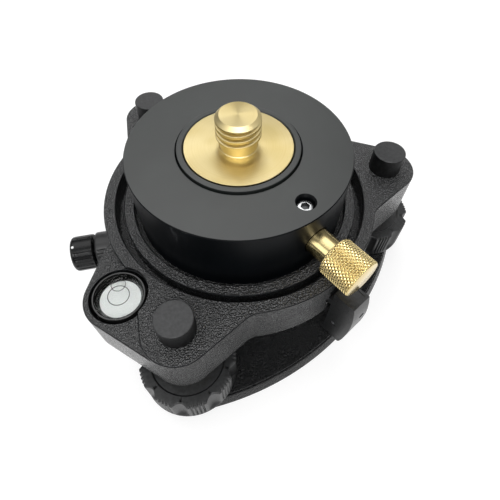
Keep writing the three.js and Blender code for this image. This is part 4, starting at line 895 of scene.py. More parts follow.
@dataclass
class CapScrew(Part):
    """A socket screw that stands at a place."""

    place: Point = (0.0, 0.0)
    seat_height: float = 0.0
    shank: float = 1.5
    length: float = 4.4
    head: float = 2.9
    head_height: float = 1.6
    edge: float = 0.25
    socket_share: float = 0.5

    def form(self) -> Form:
        top = self.head_height
        screw = Form.turned([
            (0, -self.length), *low_edge(self.shank, -self.length, self.edge), (self.shank, 0),
            *low_edge(self.head, 0, self.edge), *brow(self.head, top, self.edge), (0, top),
        ], 48)
        screw.less(Form.prism(hexagon(self.head * self.socket_share), top * 0.45, top + 1))
        return screw.moved(*self.place, self.seat_height)

    def is_second(self, centre: Vector, normal: Vector) -> bool:
        # Faces inside the hex socket take the second finish; on the bush screw this is painted shade in the
        # socket.
        off = math.dist(centre.xy, self.place)
        rise = (centre.z - self.seat_height) / self.head_height
        return off < self.head * self.socket_share and 0.4 < rise < 0.98


@dataclass
class FootSpindle(Part):
    """A foot screw with its ball end and its fine thread."""

    place: Point = (0.0, 0.0)
    radius: float = 4.0
    neck: float = 2.6
    ball: float = 3.8
    ball_bottom: float = 1.3
    ball_height: float = 4.2
    top: float = 49.0
    pitch: float = 1.0
    depth: float = 0.35
    thread_gap: float = 0.2
    edge: float = 0.5

    def form(self) -> Form:
        middle = self.ball_bottom + self.ball_height / 2
        squash = self.ball_height / 2
        ball = [(self.ball * math.cos(math.radians(t)), middle + squash * math.sin(math.radians(t)))
                for t in range(-84, 48, 6)]
        shoulder = DATUM.knob_bottom + self.radius - self.neck
        turns = []
        z = DATUM.knob_top + self.thread_gap
        while z < DATUM.body_bottom + self.pitch:
            turns += [(self.radius, z), (self.radius, z + 0.15 * self.pitch),
                      (self.radius - self.depth, z + 0.5 * self.pitch),
                      (self.radius, z + 0.85 * self.pitch)]
            z += self.pitch
        return Form.turned([
            (0, self.ball_bottom), *ball, (self.neck, self.ball_bottom + self.ball_height),
            (self.neck, DATUM.knob_bottom), (self.radius, shoulder), *turns,
            *high_edge(self.radius, self.top, self.edge), (0, self.top),
        ], 64).moved(*self.place)


@dataclass
class FootKnob(Part):
    """A ribbed and scalloped foot knob."""

    place: Point = (0.0, 0.0)
    radius: float = 18.24
    periods: int = 9
    first_scallop: float = 13.5
    scallop_width: float = 17.0
    scallop_depth: float = 1.8
    foot_share: float = 0.6
    ribs: int = 5
    rib_depth: float = 0.75
    groove_share: float = 0.6
    groove_slope: float = 1.5
    bowl: float = 0.8
    rim_run: float = 0.9
    bore: float = 4.1
    edge: float = 0.5
    dish_radius: float = 13.5
    dish_depth: float = 0.6
    brim: float = 2.2
    hub: float = 2.8
    hub_edge: float = 0.4
    rows: int = 22

    def form(self) -> Form:
        low, high, edge = DATUM.knob_bottom, DATUM.knob_top, self.edge
        dish, hub, side = high - self.dish_depth, self.bore + self.hub, self.radius - edge
        return Form.turned([
            (self.bore, low), (side, low), *arc((side, low + edge), edge, -67.5, -22.5, 2),
            *wall(self.radius, low + edge, high - edge, self.rows),
            *arc((side, high - edge), edge, 22.5, 90, 3),
            (self.radius - self.brim, high), (self.dish_radius + self.dish_depth, high),
            (self.dish_radius, dish), (hub + self.hub_edge, dish), (hub, high),
            (self.bore + self.hub_edge, high), (self.bore, high - self.hub_edge), (self.bore, low),
        ], 540).radially(self._grooved).moved(*self.place)

    def _grooved(self, radius: float, angle: float, height: float) -> float:
        if radius < self.radius - self.edge - NEAR:
            return radius
        period = 360 / self.periods
        angle = (angle - self.first_scallop) % period
        off = min(angle, period - angle)
        half = self.scallop_width / 2
        pitch = (period - self.scallop_width) / self.ribs
        rise = (height - DATUM.knob_bottom) / (DATUM.knob_top - DATUM.knob_bottom)
        above_rim = share((height - DATUM.knob_bottom) / self.rim_run - 1)
        sunk = 0.0
        if off < half:
            bowl = math.cos(math.pi / 2 * off / half) ** self.bowl
            sunk = self.scallop_depth * bowl * (self.foot_share + (1 - self.foot_share) * rise)
        elif off > half + pitch / 2:
            off_groove = 1 - zigzag((angle - half - pitch / 2) / pitch)
            sunk = self.rib_depth * share(self.groove_slope * (1 - off_groove / self.groove_share))
        return radius - sunk * above_rim


@dataclass
class FootBush(Part):
    """The threaded bush of a foot screw, its flange under the lobe."""

    place: Point = (0.0, 0.0)
    bore: float = 4.1
    radius: float = 7.0
    flange: float = 8.6
    flange_height: float = 1.0
    top: float = 45.7
    edge: float = 0.2

    def form(self) -> Form:
        under = DATUM.body_bottom - DATUM.seat
        low = under - self.flange_height
        return Form.turned([
            (self.bore + self.edge, low), *low_edge(self.flange, low, self.edge),
            (self.flange, under), (self.radius, under), (self.radius, self.top), (self.bore, self.top),
            (self.bore, low + self.edge), (self.bore + self.edge, low),
        ]).moved(*self.place)


@dataclass
class DustCap(Part):
    """A plain cap over the upper end of a foot screw."""

    place: Point = (0.0, 0.0)
    radius: float = 6.35
    top: float = 56.6
    round: float = 0.5
    spigot: float = 5.4
    spigot_depth: float = 1.5
    bore: float = 4.5
    roof: float = 1.4
    crown: float = 0.12
    foot_edge: float = 0.25

    def form(self) -> Form:
        foot = DATUM.plate_top + DATUM.seat
        low = DATUM.plate_top - self.spigot_depth
        brim, middle = self.top - max(0.0, self.crown), self.top + min(0.0, self.crown)
        return Form.turned([
            (self.bore, low), (self.spigot, low), (self.spigot, foot),
            *low_edge(self.radius, foot, self.foot_edge),
            *arc((self.radius - self.round, brim - self.round), self.round, 0, 84, 5),
            (self.radius * 0.5, brim * 0.3 + middle * 0.7), (0, middle),
            (0, self.top - self.roof), (self.bore, self.top - self.roof), (self.bore, low),
        ]).moved(*self.place)

    def is_second(self, centre: Vector, normal: Vector) -> bool:
        # Faces that don't face up take the darker copy: painted shade on the cap's side.
        return normal.z < 0.5


@dataclass
class UpperBody(Part):
    """The upper casting: rim, lobes, level lobe, groove, seat ring and the holes through it."""

    top_round: float = 0.5
    foot_round: float = 2.4
    inner_edge: float = 0.25
    prong_circle: float = 34.0
    prong_hole: float = 5.3
    vial_recess: float = 10.15
    vial_recess_floor: float = 36.9
    slot_start: float = -5.79
    slot_end: float = 30.79
    bush_hole: float = 7.1
    foot_hole: float = 5.5
    bush_seat: float = 45.8
    level_screw_well: float = 2.5
    level_screw_seat: float = 34.0
    level_screw_hole: float = 1.3
    cover_circle: float = 46.55
    cover_hole: float = 1.0
    cover_depth: float = 5.1
    housing_hole: float = 1.3
    housing_depth: float = 4.5

    def _levels(self, high: float) -> list[Point]:
        foot, head = self.foot_round, self.top_round
        return (arc((foot, DATUM.body_bottom + foot), foot, 270, 180, 6)
                + arc((head, high - head), head, 180, 90, 5))

    def _mouth(self) -> Form:
        edge, over = self.inner_edge, DATUM.plate_top + 2 * OVER
        inner, outer, wall = DATUM.seat_ring_inner, DATUM.seat_ring_outer, DATUM.groove_outer
        high, low = DATUM.seat_ring_top, DATUM.groove_floor
        return Form.turned([
            (0, DATUM.seat_floor), (inner, DATUM.seat_floor), (inner, high - edge), (inner + edge, high),
            (outer - edge, high), (outer, high - edge), (outer, low + edge), (outer + edge, low),
            *low_edge(wall, low, edge), *brow(wall, DATUM.plate_top, -edge), (wall + edge, over), (0, over),
        ], 192)

    def _underside(self) -> Form:
        low = DATUM.body_bottom - OVER
        return Form.turned([
            (0, low), (DATUM.cavity, low), (DATUM.cavity, DATUM.chamber_floor),
            (DATUM.chamber, DATUM.chamber_floor), (DATUM.chamber, DATUM.web_bottom),
            (DATUM.hub, DATUM.web_bottom), (DATUM.hub, DATUM.hub_face), (0, DATUM.hub_face),
        ], 128)

    def _recess(self) -> Form:
        edge, radius, over = self.inner_edge, self.vial_recess, DATUM.plate_top + 2 * OVER
        return Form.turned([
            (0, self.vial_recess_floor), (radius, self.vial_recess_floor),
            *brow(radius, DATUM.vial_lobe_top, -edge), (radius + edge, over), (0, over),
        ]).moved(*VIAL_PLACE)

    def _lever_slot(self) -> Form:
        start, end = DATUM.lever_azimuth + self.slot_start, DATUM.lever_azimuth + self.slot_end
        outside = arc((0, 0), DATUM.rim + OVER, start, end, 16)
        inside = arc((0, 0), DATUM.chamber - OVER, end, start, 16)
        return Form.prism(outside + inside, DATUM.chamber_floor, DATUM.web_bottom)

    def form(self) -> Form:
        body = Form.stacked(BODY_OUTLINE.body, self._levels(DATUM.plate_top))
        body.plus(Form.stacked(BODY_OUTLINE.vial, self._levels(DATUM.vial_lobe_top)))
        body.less(self._mouth(), self._underside(), self._recess())
        low, floor, hub = DATUM.body_bottom - OVER, DATUM.chamber_floor, DATUM.hub_face
        feet = Form.stepped(self.bush_hole, self.foot_hole, low, self.bush_seat, DATUM.plate_top + OVER)
        prongs = Form.rod(self.prong_hole, DATUM.web_bottom - OVER, DATUM.seat_floor + OVER, segments=48)
        level = Form.stepped(self.level_screw_well, self.level_screw_hole, low, self.level_screw_seat,
                             self.vial_recess_floor + OVER, 32)
        cover = Form.rod(self.cover_hole, floor - OVER, floor + self.cover_depth, segments=24)
        housing = Form.rod(self.housing_hole, hub - OVER, hub + self.housing_depth, segments=24)
        holes = feet.in_threes(DATUM.foot_circle).with_all(
            prongs.in_threes(self.prong_circle),
            level.in_threes(DATUM.level_screw_circle, DATUM.vial_azimuth, VIAL_PLACE),
            cover.in_threes(self.cover_circle, 30),
            housing.in_threes(DATUM.housing_screw_circle),
        )
        return body.less(holes, self._lever_slot())

    def is_second(self, centre: Vector, normal: Vector) -> bool:
        # The sloping faces of the rounded top edges take the second finish: painted shade along the edges.
        return 0.2 < normal.z < 0.93 and centre.z > DATUM.vial_lobe_top - self.top_round


@dataclass
class LevelCup(Part):
    """The cup of the circular level with its polished lip and tapered mouth."""

    bottom: float = 37.2
    top: float = 46.4
    radius: float = 9.15
    mouth: float = 8.45
    bore: float = 7.2
    bore_top: float = 43.3
    floor: float = 2.4
    lip: float = 0.3
    edge: float = 0.3
    mouth_edge: float = 0.1
    screw_hole: float = 1.1
    screw_depth: float = 1.7

    def form(self) -> Form:
        low, high, floor = self.bottom, self.top, self.bottom + self.floor
        cup = Form.turned([
            (0, low), *low_edge(self.radius, low, self.edge),
            *arc((self.radius - self.lip, high - self.lip), self.lip, 0, 90, 5),
            (self.mouth + self.mouth_edge, high), (self.mouth, high - self.mouth_edge),
            (self.bore, self.bore_top), (self.bore, floor), (0, floor),
        ], 128)
        holes = Form.rod(self.screw_hole, low - OVER, low + self.screw_depth, segments=24)
        return cup.less(holes.in_threes(DATUM.level_screw_circle, DATUM.vial_azimuth)).moved(*VIAL_PLACE)


@dataclass
class LevelInside(Part):
    """A round piece inside the level: the disc, the liquid or the window."""

    low: float = 0.0
    high: float = 1.0
    radius: float = 7.1
    spread: float = 0.0
    edge: float = 0.06
    bubble: float = 0.0
    bubble_depth: float = 0.5

    def form(self) -> Form:
        wide = self.radius + self.spread
        form = Form.turned([
            (0, self.low), (self.radius - self.edge, self.low), (self.radius, self.low + self.edge),
            (wide, self.high - self.edge), (wide - self.edge, self.high), (0, self.high),
        ], 128)
        if self.bubble:
            wide, depth, high = self.bubble, self.bubble_depth, self.high
            pocket = Form.turned([
                (0, high - depth), (wide * 0.6, high - depth * 0.93), (wide * 0.88, high - depth * 0.6),
                (wide, high - 0.1), (wide, high + 1), (0, high + 1),
            ], 64)
            form.less(pocket.moved(*polar(DATUM.bubble_offset, DATUM.bubble_azimuth)))
        return form.moved(*VIAL_PLACE)

    def is_second(self, centre: Vector, normal: Vector) -> bool:
        return math.dist(centre.xy, VIAL_PLACE) > self.radius - 0.3 and abs(normal.z) < 0.9


@dataclass
class PlummetHousing(Part):
    """The plummet's column, flange and sight tube."""

    top: float = 31.5
    bottom: float = 13.1
    radius: float = 11.0
    flange: float = 17.5
    flange_height: float = 2.5
    bore: float = 6.0
    roof: float = 1.9
    tube: float = 5.6
    tube_bore: float = 4.4
    tube_end: float = 63.55
    foot_edge: float = 0.6
    fillet: float = 0.5
    edge: float = 0.3
    screw_hole: float = 1.3

    def form(self) -> Form:
        under = self.top - self.flange_height
        column = Form.turned([
            (0, self.bottom), *low_edge(self.radius, self.bottom, self.foot_edge),
            (self.radius, under - self.fillet), (self.radius + self.fillet, under),
            *low_edge(self.flange, under, self.edge), (self.flange, self.top), (0, self.top),
        ])
        screws = Form.rod(self.screw_hole, under - OVER, self.top + OVER, segments=24)
        return column.plus(Form.rod(self.tube, 0, self.tube_end).laid(Axis.SIGHT)).less(
            Form.rod(self.bore, self.bottom - OVER, self.top - self.roof),
            Form.rod(self.tube_bore, 0, self.tube_end + OVER).laid(Axis.SIGHT),
            screws.in_threes(DATUM.housing_screw_circle),
        )


@dataclass
class GripRing(Part):
    """A ring on the line of sight with smooth bands between groups of ribs."""

    start: float = 0.0
    length: float = 8.4
    radius: float = 7.9
    bore: float = 5.9
    groups: int = 3
    grooves: int = 4
    groove_pitch: float = 20.0
    groove_depth: float = 0.4
    groove_share: float = 0.6
    groove_slope: float = 1.7
    groove_run: float = 0.7
    band_middle: float = -7.0
    edge: float = 0.4
    nose: float = 0.6
    nose_steps: int = 4
    rows: int = 16
    eyepiece: bool = False
    eye_bore: float = 3.2
    spigot: float = 4.2
    spigot_length: float = 6.0
    eye_cup: float = 5.3
    eye_depth: float = 2.4

    def form(self) -> Form:
        low, end = self.start + self.edge, self.start + self.length
        high = end - self.nose
        turn = 90 / self.nose_steps
        nose = arc((self.radius - self.nose, high), self.nose, turn, 90, self.nose_steps - 1)
        outside = [(self.radius - self.edge, self.start), *wall(self.radius, low, high, self.rows), *nose]
        if self.eyepiece:
            back = self.start - self.spigot_length
            profile = [(self.eye_bore, back), (self.spigot, back), (self.spigot, self.start), *outside,
                       (self.eye_cup, end), (self.eye_cup - 0.3, end - 0.15),
                       (self.eye_bore, end - self.eye_depth), (self.eye_bore, back)]
        else:
            profile = [(self.bore, self.start), *outside, (self.bore, end), (self.bore, self.start)]
        return Form.turned(profile, 360).radially(self._grooved).laid(Axis.SIGHT)

    def _grooved(self, radius: float, angle: float, height: float) -> float:
        low, high = self.start + self.edge, self.start + self.length - self.nose
        period, ribbed = 360 / self.groups, self.grooves * self.groove_pitch
        off = (angle - self.band_middle) % period - (period - ribbed) / 2
        if radius < self.radius - NEAR or not 0 < off < ribbed:
            return radius
        off_groove = 1 - zigzag(off / self.groove_pitch)
        groove = share(self.groove_slope * (1 - off_groove / self.groove_share))
        ends = share(min(height - low, high - height) / self.groove_run)
        return radius - self.groove_depth * groove * ends


@dataclass
class ClampLever(Part):
    """The upright lever with its bulging outer face, arm and tab."""

    inner: float = 55.3
    outer: float = 65.6
    top: float = 42.7
    bottom: float = 13.4
    width: float = 8.4
    edge: float = 0.3
    border: float = 0.75
    border_depth: float = 0.3
    hole: float = 1.3
    hole_depth: float = 1.8
    hole_side: float = 0.9
    hole_height: float = 34.3
    screw: float = 1.3
    tab_inner: float = 37.8
    tab_outer: float = 55.9
    arm_inner: float = 45.2
    tab_height: float = 1.8
    arm_height: float = 3.5
    arm_side: float = 0.6
    foot_edge: float = 0.5
    screw_depth: float = 3.0
    ring_screw: float = 1.0
    ring_screw_head: float = 1.7
    ring_screw_low: float = 30.8
    ring_screw_seat: float = 33.9
    ring_screw_top: float = 38.6
    ring_screw_reach: float = 40.9
    ring_screw_side: float = 2.4
    face: tuple[Point, ...] = (
        (64.0, 42.7), (64.9, 39.4), (65.45, 35.6), (65.6, 31.5), (65.5, 27.0), (65.3, 23.5),
        (64.95, 20.2), (64.6, 17.4), (64.2, 15.2), (63.8, 13.9), (63.3, 13.4),
    )

    def _block(self, near: float, far: float, half: float, low: float, high: float) -> Form:
        return Form.prism([(near, -half), (far, -half), (far, half), (near, half)], low, high)

    def form(self) -> Form:
        inner, low, half, ring = self.inner, self.bottom, self.width / 2, DATUM.ring_top
        side = [(inner + self.foot_edge, low), (inner, low + self.foot_edge), (inner, self.top), *self.face]
        blade = Form.prism(side, -half, half).turned_by(90, "X")
        blade.bevel(self.edge, 2, lambda edge: self._is_rim(edge, half))
        lip = self.edge + self.border
        recess = self._block(inner + lip, self.face[0][0] - lip, half - lip,
                             self.top - self.border_depth, self.top + 1)
        wide = half - self.arm_side
        tab = self._block(self.tab_inner, self.tab_outer, wide, ring - self.tab_height, ring)
        arm = self._block(self.arm_inner, self.tab_outer, wide, ring - self.arm_height, ring)
        hole = Form.rod(self.hole, -self.hole_depth, OVER, segments=40).turned_by(90, "Y")
        hole.moved(self.outer, self.hole_side, self.hole_height)
        socket = Form.rod(self.screw, -OVER, self.screw_depth, segments=40).turned_by(-90, "X")
        socket.moved(DATUM.lever_screw_reach, -half, DATUM.lever_screw_height)
        heights = self.ring_screw_low, self.ring_screw_seat, self.ring_screw_top
        screws = [Form.stepped(self.ring_screw_head, self.ring_screw, *heights, 24)
                  .moved(self.ring_screw_reach, side * self.ring_screw_side) for side in (-1, 1)]
        lever = blade.plus(tab.plus(arm)).less(recess, hole, socket, *screws)
        return lever.turned_by(DATUM.lever_azimuth)

    @staticmethod
    def _is_rim(edge: bmesh.types.BMEdge, half: float) -> bool:
        return all(abs(abs(vert.co.y) - half) < 1e-3 for vert in edge.verts) and (
            edge.verts[0].co.y * edge.verts[1].co.y > 0)


@dataclass
class LeverSetScrew(Part):
    """The small set screw in the lever's flank, with a painted highlight on its socket floor."""

    radius: float = 1.2
    length: float = 2.6
    depth: float = 0.3
    flank: float = 4.2
    socket: float = 0.66
    socket_depth: float = 0.3
    edge: float = 0.2

    def form(self) -> Form:
        plug = Form.rod(self.radius, 0, self.length, self.edge, 40)
        plug.less(Form.prism(hexagon(self.socket), -OVER, self.socket_depth))
        plug.turned_by(-90, "X")
        plug.moved(DATUM.lever_screw_reach, self.depth - self.flank, DATUM.lever_screw_height)
        return plug.turned_by(DATUM.lever_azimuth)

    def is_second(self, centre: Vector, normal: Vector) -> bool:
        # The socket floor, facing out of the flank, takes the bright steel: a painted highlight.
        across, side = polar(1.0, DATUM.lever_azimuth), polar(1.0, DATUM.lever_azimuth + 90)
        reach = centre.x * across[0] + centre.y * across[1] - DATUM.lever_screw_reach
        off = math.hypot(reach, centre.z - DATUM.lever_screw_height)
        facing = -(normal.x * side[0] + normal.y * side[1])
        return off < self.socket * 0.5 and facing > 0.9


@dataclass
class AdapterBody(Part):
    """The turned body of the adapter with its counterbore and radial bore."""

    edge: float = 0.3
    ease: float = 0.12
    collar_bore: float = 22.54
    bush_bore: float = 15.1
    bearing_top: float = 65.9
    bearing_bottom: float = 50.4
    well: float = 20.0
    radial_bore: float = 5.1
    bore_start: float = 12.0
    bore_chamfer: float = 0.5
    bore_lead: float = 0.3
    screw_well: float = 3.3
    screw_edge: float = 0.25
    screw_floor: float = 66.8
    screw_hole: float = 1.6
    spigot: float = 3.5
    spigot_circle: float = 34.0
    spigot_depth: float = 5.0
    foot_edge: float = 0.4
    collar_edge: float = 0.3

    def form(self) -> Form:
        low, high, outer, edge = DATUM.shell_bottom, DATUM.adapter_top, DATUM.adapter_radius, self.edge
        shell = Form.turned([
            (self.well, low), *low_edge(outer, low, self.foot_edge), (outer, high - edge),
            (outer - edge * self.ease, high - edge * (1 - self.ease)),
            (outer - edge * (1 - self.ease), high - edge * self.ease),
            (outer - edge, high), (self.collar_bore + self.collar_edge, high),
            (self.collar_bore, high - self.collar_edge), (self.collar_bore, self.bearing_top),
            (self.bush_bore, self.bearing_top), (self.bush_bore, self.bearing_bottom),
            (self.well, self.bearing_bottom), (self.well, low),
        ], 256)
        bore, wide, over = self.radial_bore, self.radial_bore + self.bore_chamfer, outer + OVER
        radial = Form.turned([
            (0, self.bore_start), (bore, self.bore_start), (bore, outer - self.bore_chamfer),
            (wide, outer + self.bore_lead), (wide, over), (0, over),
        ], 64).laid(Axis.CLAMP)
        bore, wide, over = self.screw_well, self.screw_well + self.screw_edge, high + OVER
        well = Form.turned([
            (0, DATUM.clamp_height), (self.screw_hole, DATUM.clamp_height),
            (self.screw_hole, self.screw_floor), (bore, self.screw_floor),
            (bore, high - self.screw_edge), (wide, high), (wide, over), (0, over),
        ], 64).moved(*polar(DATUM.bush_screw_circle, DATUM.clamp_azimuth))
        spigots = Form.rod(self.spigot, low - OVER, low + self.spigot_depth, segments=40)
        return shell.less(radial, well, spigots.in_threes(self.spigot_circle))

    def is_second(self, centre: Vector, normal: Vector) -> bool:
        # Every face but the top takes the darker copy: painted shade on the sides.
        return normal.z < 0.95


@dataclass
class Spindle(Part):
    """The turning core, its collar standing just over the adapter."""

    collar: float = 22.24
    head_bottom: float = 66.0
    core: float = 12.0
    core_bottom: float = 50.3
    thread: float = 9.0
    tail: float = 43.7
    recess: float = 19.96
    recess_floor: float = 68.49
    spigot: float = 8.1
    spigot_floor: float = 59.89
    edge: float = 0.35
    head_edge: float = 0.2
    tail_edge: float = 0.5

    def form(self) -> Form:
        high = DATUM.collar_top
        return Form.turned([
            (0, self.tail), *low_edge(self.thread, self.tail, self.tail_edge),
            (self.thread, self.core_bottom), (self.core, self.core_bottom), (self.core, self.head_bottom),
            *low_edge(self.collar, self.head_bottom, self.head_edge), *brow(self.collar, high, self.edge),
            (self.recess + self.edge, high), (self.recess, high - self.edge),
            (self.recess, self.recess_floor), (self.spigot, self.recess_floor),
            (self.spigot, self.spigot_floor), (0, self.spigot_floor),
        ], 192)


@dataclass
class StudFlange(Part):
    """The brass flange with its threaded stud."""

    flange: float = 19.66
    flange_bottom: float = 68.59
    edge: float = 0.35
    spigot: float = 8.0
    spigot_bottom: float = 60.09
    neck: float = 6.74
    neck_height: float = 4.0
    depth: float = 1.25
    phase: float = 0.32
    crest_share: float = 0.4
    flank_share: float = 0.5
    start_share: float = 0.6
    end_share: float = 0.8
    lead_slope: float = 1.6
    face: float = 6.46
    chamfer: float = 1.3
    relief: float = 0.25
    spigot_edge: float = 0.4
    run_in: float = 0.35
    rows: int = 120

    def form(self) -> Form:
        top, low, start = DATUM.stud_top, DATUM.flange_top, DATUM.flange_top + self.neck_height
        thread = DATUM.thread_radius
        return Form.turned([
            (0, self.spigot_bottom), *low_edge(self.spigot, self.spigot_bottom, self.spigot_edge),
            (self.spigot, self.flange_bottom), (self.flange, self.flange_bottom),
            *brow(self.flange, low, self.edge), (self.neck + self.relief, low),
            (self.neck, low + self.relief), (self.neck, start - self.run_in), (thread - 0.001, start),
            *wall(thread, start, top - 0.001, self.rows), (self.face, top), (0, top),
        ], 144).radially(self._threaded)

    def _threaded(self, radius: float, angle: float, height: float) -> float:
        up, down = height - DATUM.flange_top - self.neck_height, DATUM.stud_top - height
        if up < -NEAR or radius < self.face + NEAR:
            return radius
        wave = zigzag(up / DATUM.thread_pitch - angle / 360 + self.phase)
        enter = share(up / (self.start_share * DATUM.thread_pitch) + 0.5)
        leave = share(down / (self.end_share * self.chamfer) - 1)
        groove = self.depth * share((wave - self.crest_share) / self.flank_share) * enter * leave
        slope = self.face + down * (DATUM.thread_radius - self.face) / self.chamfer
        lead = self.neck + (up + self.run_in) * self.lead_slope
        return min(DATUM.thread_radius - groove, slope, max(lead, self.neck))


@dataclass
class ClampBush(Part):
    """The brass bush that the clamp screw runs in."""

    radius: float = 4.8
    bore: float = 2.6
    start: float = 25.0
    end: float = 48.3

    def form(self) -> Form:
        return Form.pipe(self.radius, self.bore, self.start, self.end, 0.3, 96).laid(Axis.CLAMP)


@dataclass
class ClampKnob(Part):
    """The knurled brass knob with its screw."""

    start: float = 48.8
    end: float = 61.0
    radius: float = 7.2
    screw: float = 2.5
    tip: float = 22.2
    tip_edge: float = 0.4
    end_step: float = 0.05
    end_edge: float = 0.15
    chamfer: float = 0.3
    knurl_start: float = 49.15
    knurl_end: float = 60.6
    knurl_depth: float = 0.42
    flat_share: float = 0.35 / 1.35
    starts: int = 32
    lead_share: float = 1.15
    rows: int = 96

    def form(self) -> Form:
        face = self.radius - self.chamfer
        knob = Form.turned([
            (0, self.tip), *low_edge(self.screw, self.tip, self.tip_edge), (self.screw, self.start),
            (face, self.start), *wall(self.radius, self.knurl_start, self.knurl_end, self.rows),
            (face, self.end - self.end_step), (face - self.end_edge, self.end), (0, self.end),
        ], 12 * self.starts)
        return knob.radially(self._knurled).laid(Axis.CLAMP)

    def _knurled(self, radius: float, angle: float, height: float) -> float:
        if radius < self.radius - NEAR:
            return radius
        around = angle / 360 * self.starts
        along = height * self.starts / (FULL_TURN * self.radius * self.lead_share)
        groove = max(zigzag(around + along), zigzag(around - along))
        return radius - self.knurl_depth * share((groove - self.flat_share) / (1 - self.flat_share))


def visible_parts() -> list[Part]:
    """Lists the pieces that stand for the frame's nodes."""
    body = "tribrach_body"
    parts: list[Part] = [
        BasePlate("base_plate", "base", "black_casting", SHADED_BASE_CASTING),
        SpringPlate("spring_plate", "base", "black_casting", SHADED_BASE_CASTING),
        ThreadInsert("thread_insert", "base", "brass", BRASS),
        UpperBody("upper_body", body, "black_casting", CASTING, PAINTED_EDGE_SHADE),
        LevelCup("level_cup", body, "black_anodised", POLISHED),
        LevelInside("level_disc", body, "level_white", ENAMEL, low=39.7, high=43.3),
        LevelInside("level_fluid", body, "glass", FLUID, POLISHED, low=43.4, high=45.0, radius=7.14,
                    spread=0.645, bubble=2.6),
        LevelInside("level_glass", body, "glass", GLASS, POLISHED, low=45.1, high=46.3, radius=7.826,
                    spread=0.484),
        PlummetHousing("plummet_housing", body, "black_anodised", ANODISED_SHADED_WALL),
        GripRing("focus_ring", "focus_ring_unit", "black_anodised", ANODISED_SIGHT, start=54.55,
                 groove_pitch=12.0, band_middle=5.0, nose=0.9),
        GripRing("eyepiece_ring", "eyepiece", "black_moulding", EYEPIECE_GLOSS, start=63.85, length=9.4,
                 radius=7.5, nose=1.4, eyepiece=True),
        ClampLever("clamp_lever", "clamp", "black_casting", SMOOTH_PAINT),
        LeverSetScrew("lever_set_screw", "clamp", "steel", DARK_STEEL_AND_SHADE, BRIGHT_STEEL_AND_GLINT),
        AdapterBody("adapter_body", body, "black_anodised", ANODISED, ANODISED_SHADED_WALL),
        Spindle("spindle", "spindle_unit", "black_anodised", ANODISED),
        StudFlange("stud_flange", "spindle_unit", "brass", BRASS),
        ClampBush("clamp_bush", body, "brass", BRASS_CLAMP),
        ClampKnob("clamp_knob", "clamp_knob_unit", "brass", BRASS_CLAMP),
        # The bush screw's socket takes the dark steel as painted shade.
        CapScrew("bush_screw", body, "steel", BRIGHT_STEEL_AND_GLINT, DARK_STEEL_AND_SHADE,
                 place=polar(DATUM.bush_screw_circle, DATUM.clamp_azimuth), seat_height=66.9,
                 head=2.7, head_height=2.0, length=4.5, socket_share=0.6),
    ]
    for letter, foot in zip("abc", DATUM.feet):
        place, screw = polar(DATUM.foot_circle, foot), f"foot_screw_{letter}"
        parts += [
            FootKnob(f"foot_knob_{letter}", screw, "black_moulding", KNOB_MOULDING, place=place),
            FootSpindle(f"foot_spindle_{letter}", screw, "steel", DARK_STEEL_AND_SHADE, place=place),
            FootBush(f"foot_bush_{letter}", body, "brass", BRASS, place=place),
            DustCap(f"dust_cap_{letter}", body, "black_moulding", MOULDED, CAP_SHADED_WALL, place=place,
                    crown=-0.3 if letter == "a" else 0.1),
        ]
    for letter, foot in zip("abc", DATUM.feet):
        parts.append(CapScrew(f"spring_plate_screw_{letter}", "base", "steel", DARK_STEEL_AND_SHADE,
                              place=polar(DATUM.plate_screw_circle, foot + 60),
                              seat_height=DATUM.spring_plate_top + DATUM.seat))
    return parts


@dataclass(frozen=True)
class HiddenFinishes:
    """Finishes of the frame's own nodes, which stay as they are."""

    known: tuple[tuple[Finish, tuple[str, ...]], ...] = (
        (STEEL, ("clamp_ring", "ring_cover", "prong_plate", "spindle_washer", "spindle_nut",
                 "ring_cover_screw", "level_screw", "plummet_screw", "lever_screw")),
        (GLASS, ("plummet_prism", "objective_lens", "reticle", "focus_lens", "eyepiece_lens")),
        (BRONZE, ("spindle_bush",)),
        (MOULDED, ("clamp_pad",)),
    )
    other: Finish = ANODISED_SIGHT

    def apply(self, nodes: dict[str, bpy.types.Object], replaced: set[str]) -> None:
        """Gives each node that no piece stands for its finish."""
        for name, node in nodes.items():
            if name not in replaced:
                found = (finish for finish, names in self.known if name.startswith(names))
                finish = next(found, self.other)
                node.data.materials.clear()
                node.data.materials.append(finish.material())


@dataclass
class WhiteDot:
    """The painted index dot on the eyepiece."""

    radius: float = 0.55
    height: float = 0.06
    reach: float = 71.74
    ring: float = 7.5
    turn: float = -12.4

    def build(self) -> bpy.types.Object:
        """Makes the dot and lets it ride with the eyepiece."""
        dot = Form.turned([
            (0, -0.3), (self.radius, -0.3), (self.radius, self.height * 0.4),
            (self.radius * 0.7, self.height), (0, self.height),
        ], 32)
        dot.turned_by(90, "Y").moved(x=self.ring).turned_by(self.turn).moved(z=self.reach).laid(Axis.SIGHT)
        return shown(dot, "eyepiece_dot", ENAMEL, "eyepiece")


@dataclass
class LevelLine:
    """A thin dark line: printed round the level's target, painted shade round the bubble's edge."""

    name: str
    radius: float
    low: float
    high: float
    line: float = 0.13
    place: Point = VIAL_PLACE

    def build(self) -> bpy.types.Object:
        """Makes the line and lets it ride with the body."""
        circle = Form.pipe(self.radius + self.line, self.radius - self.line, self.low, self.high)
        return shown(circle.moved(*self.place), self.name, INK_AND_BUBBLE_SHADE, "tribrach_body")


LEVEL_LINES = (
    LevelLine("level_circle", 3.65, 46.28, 46.33),
    # The dark ring at the bubble's edge is painted shade for the meniscus's dark rim.
    LevelLine("bubble_edge", 2.5, 44.98, 45.06, 0.1, BUBBLE_PLACE),
)


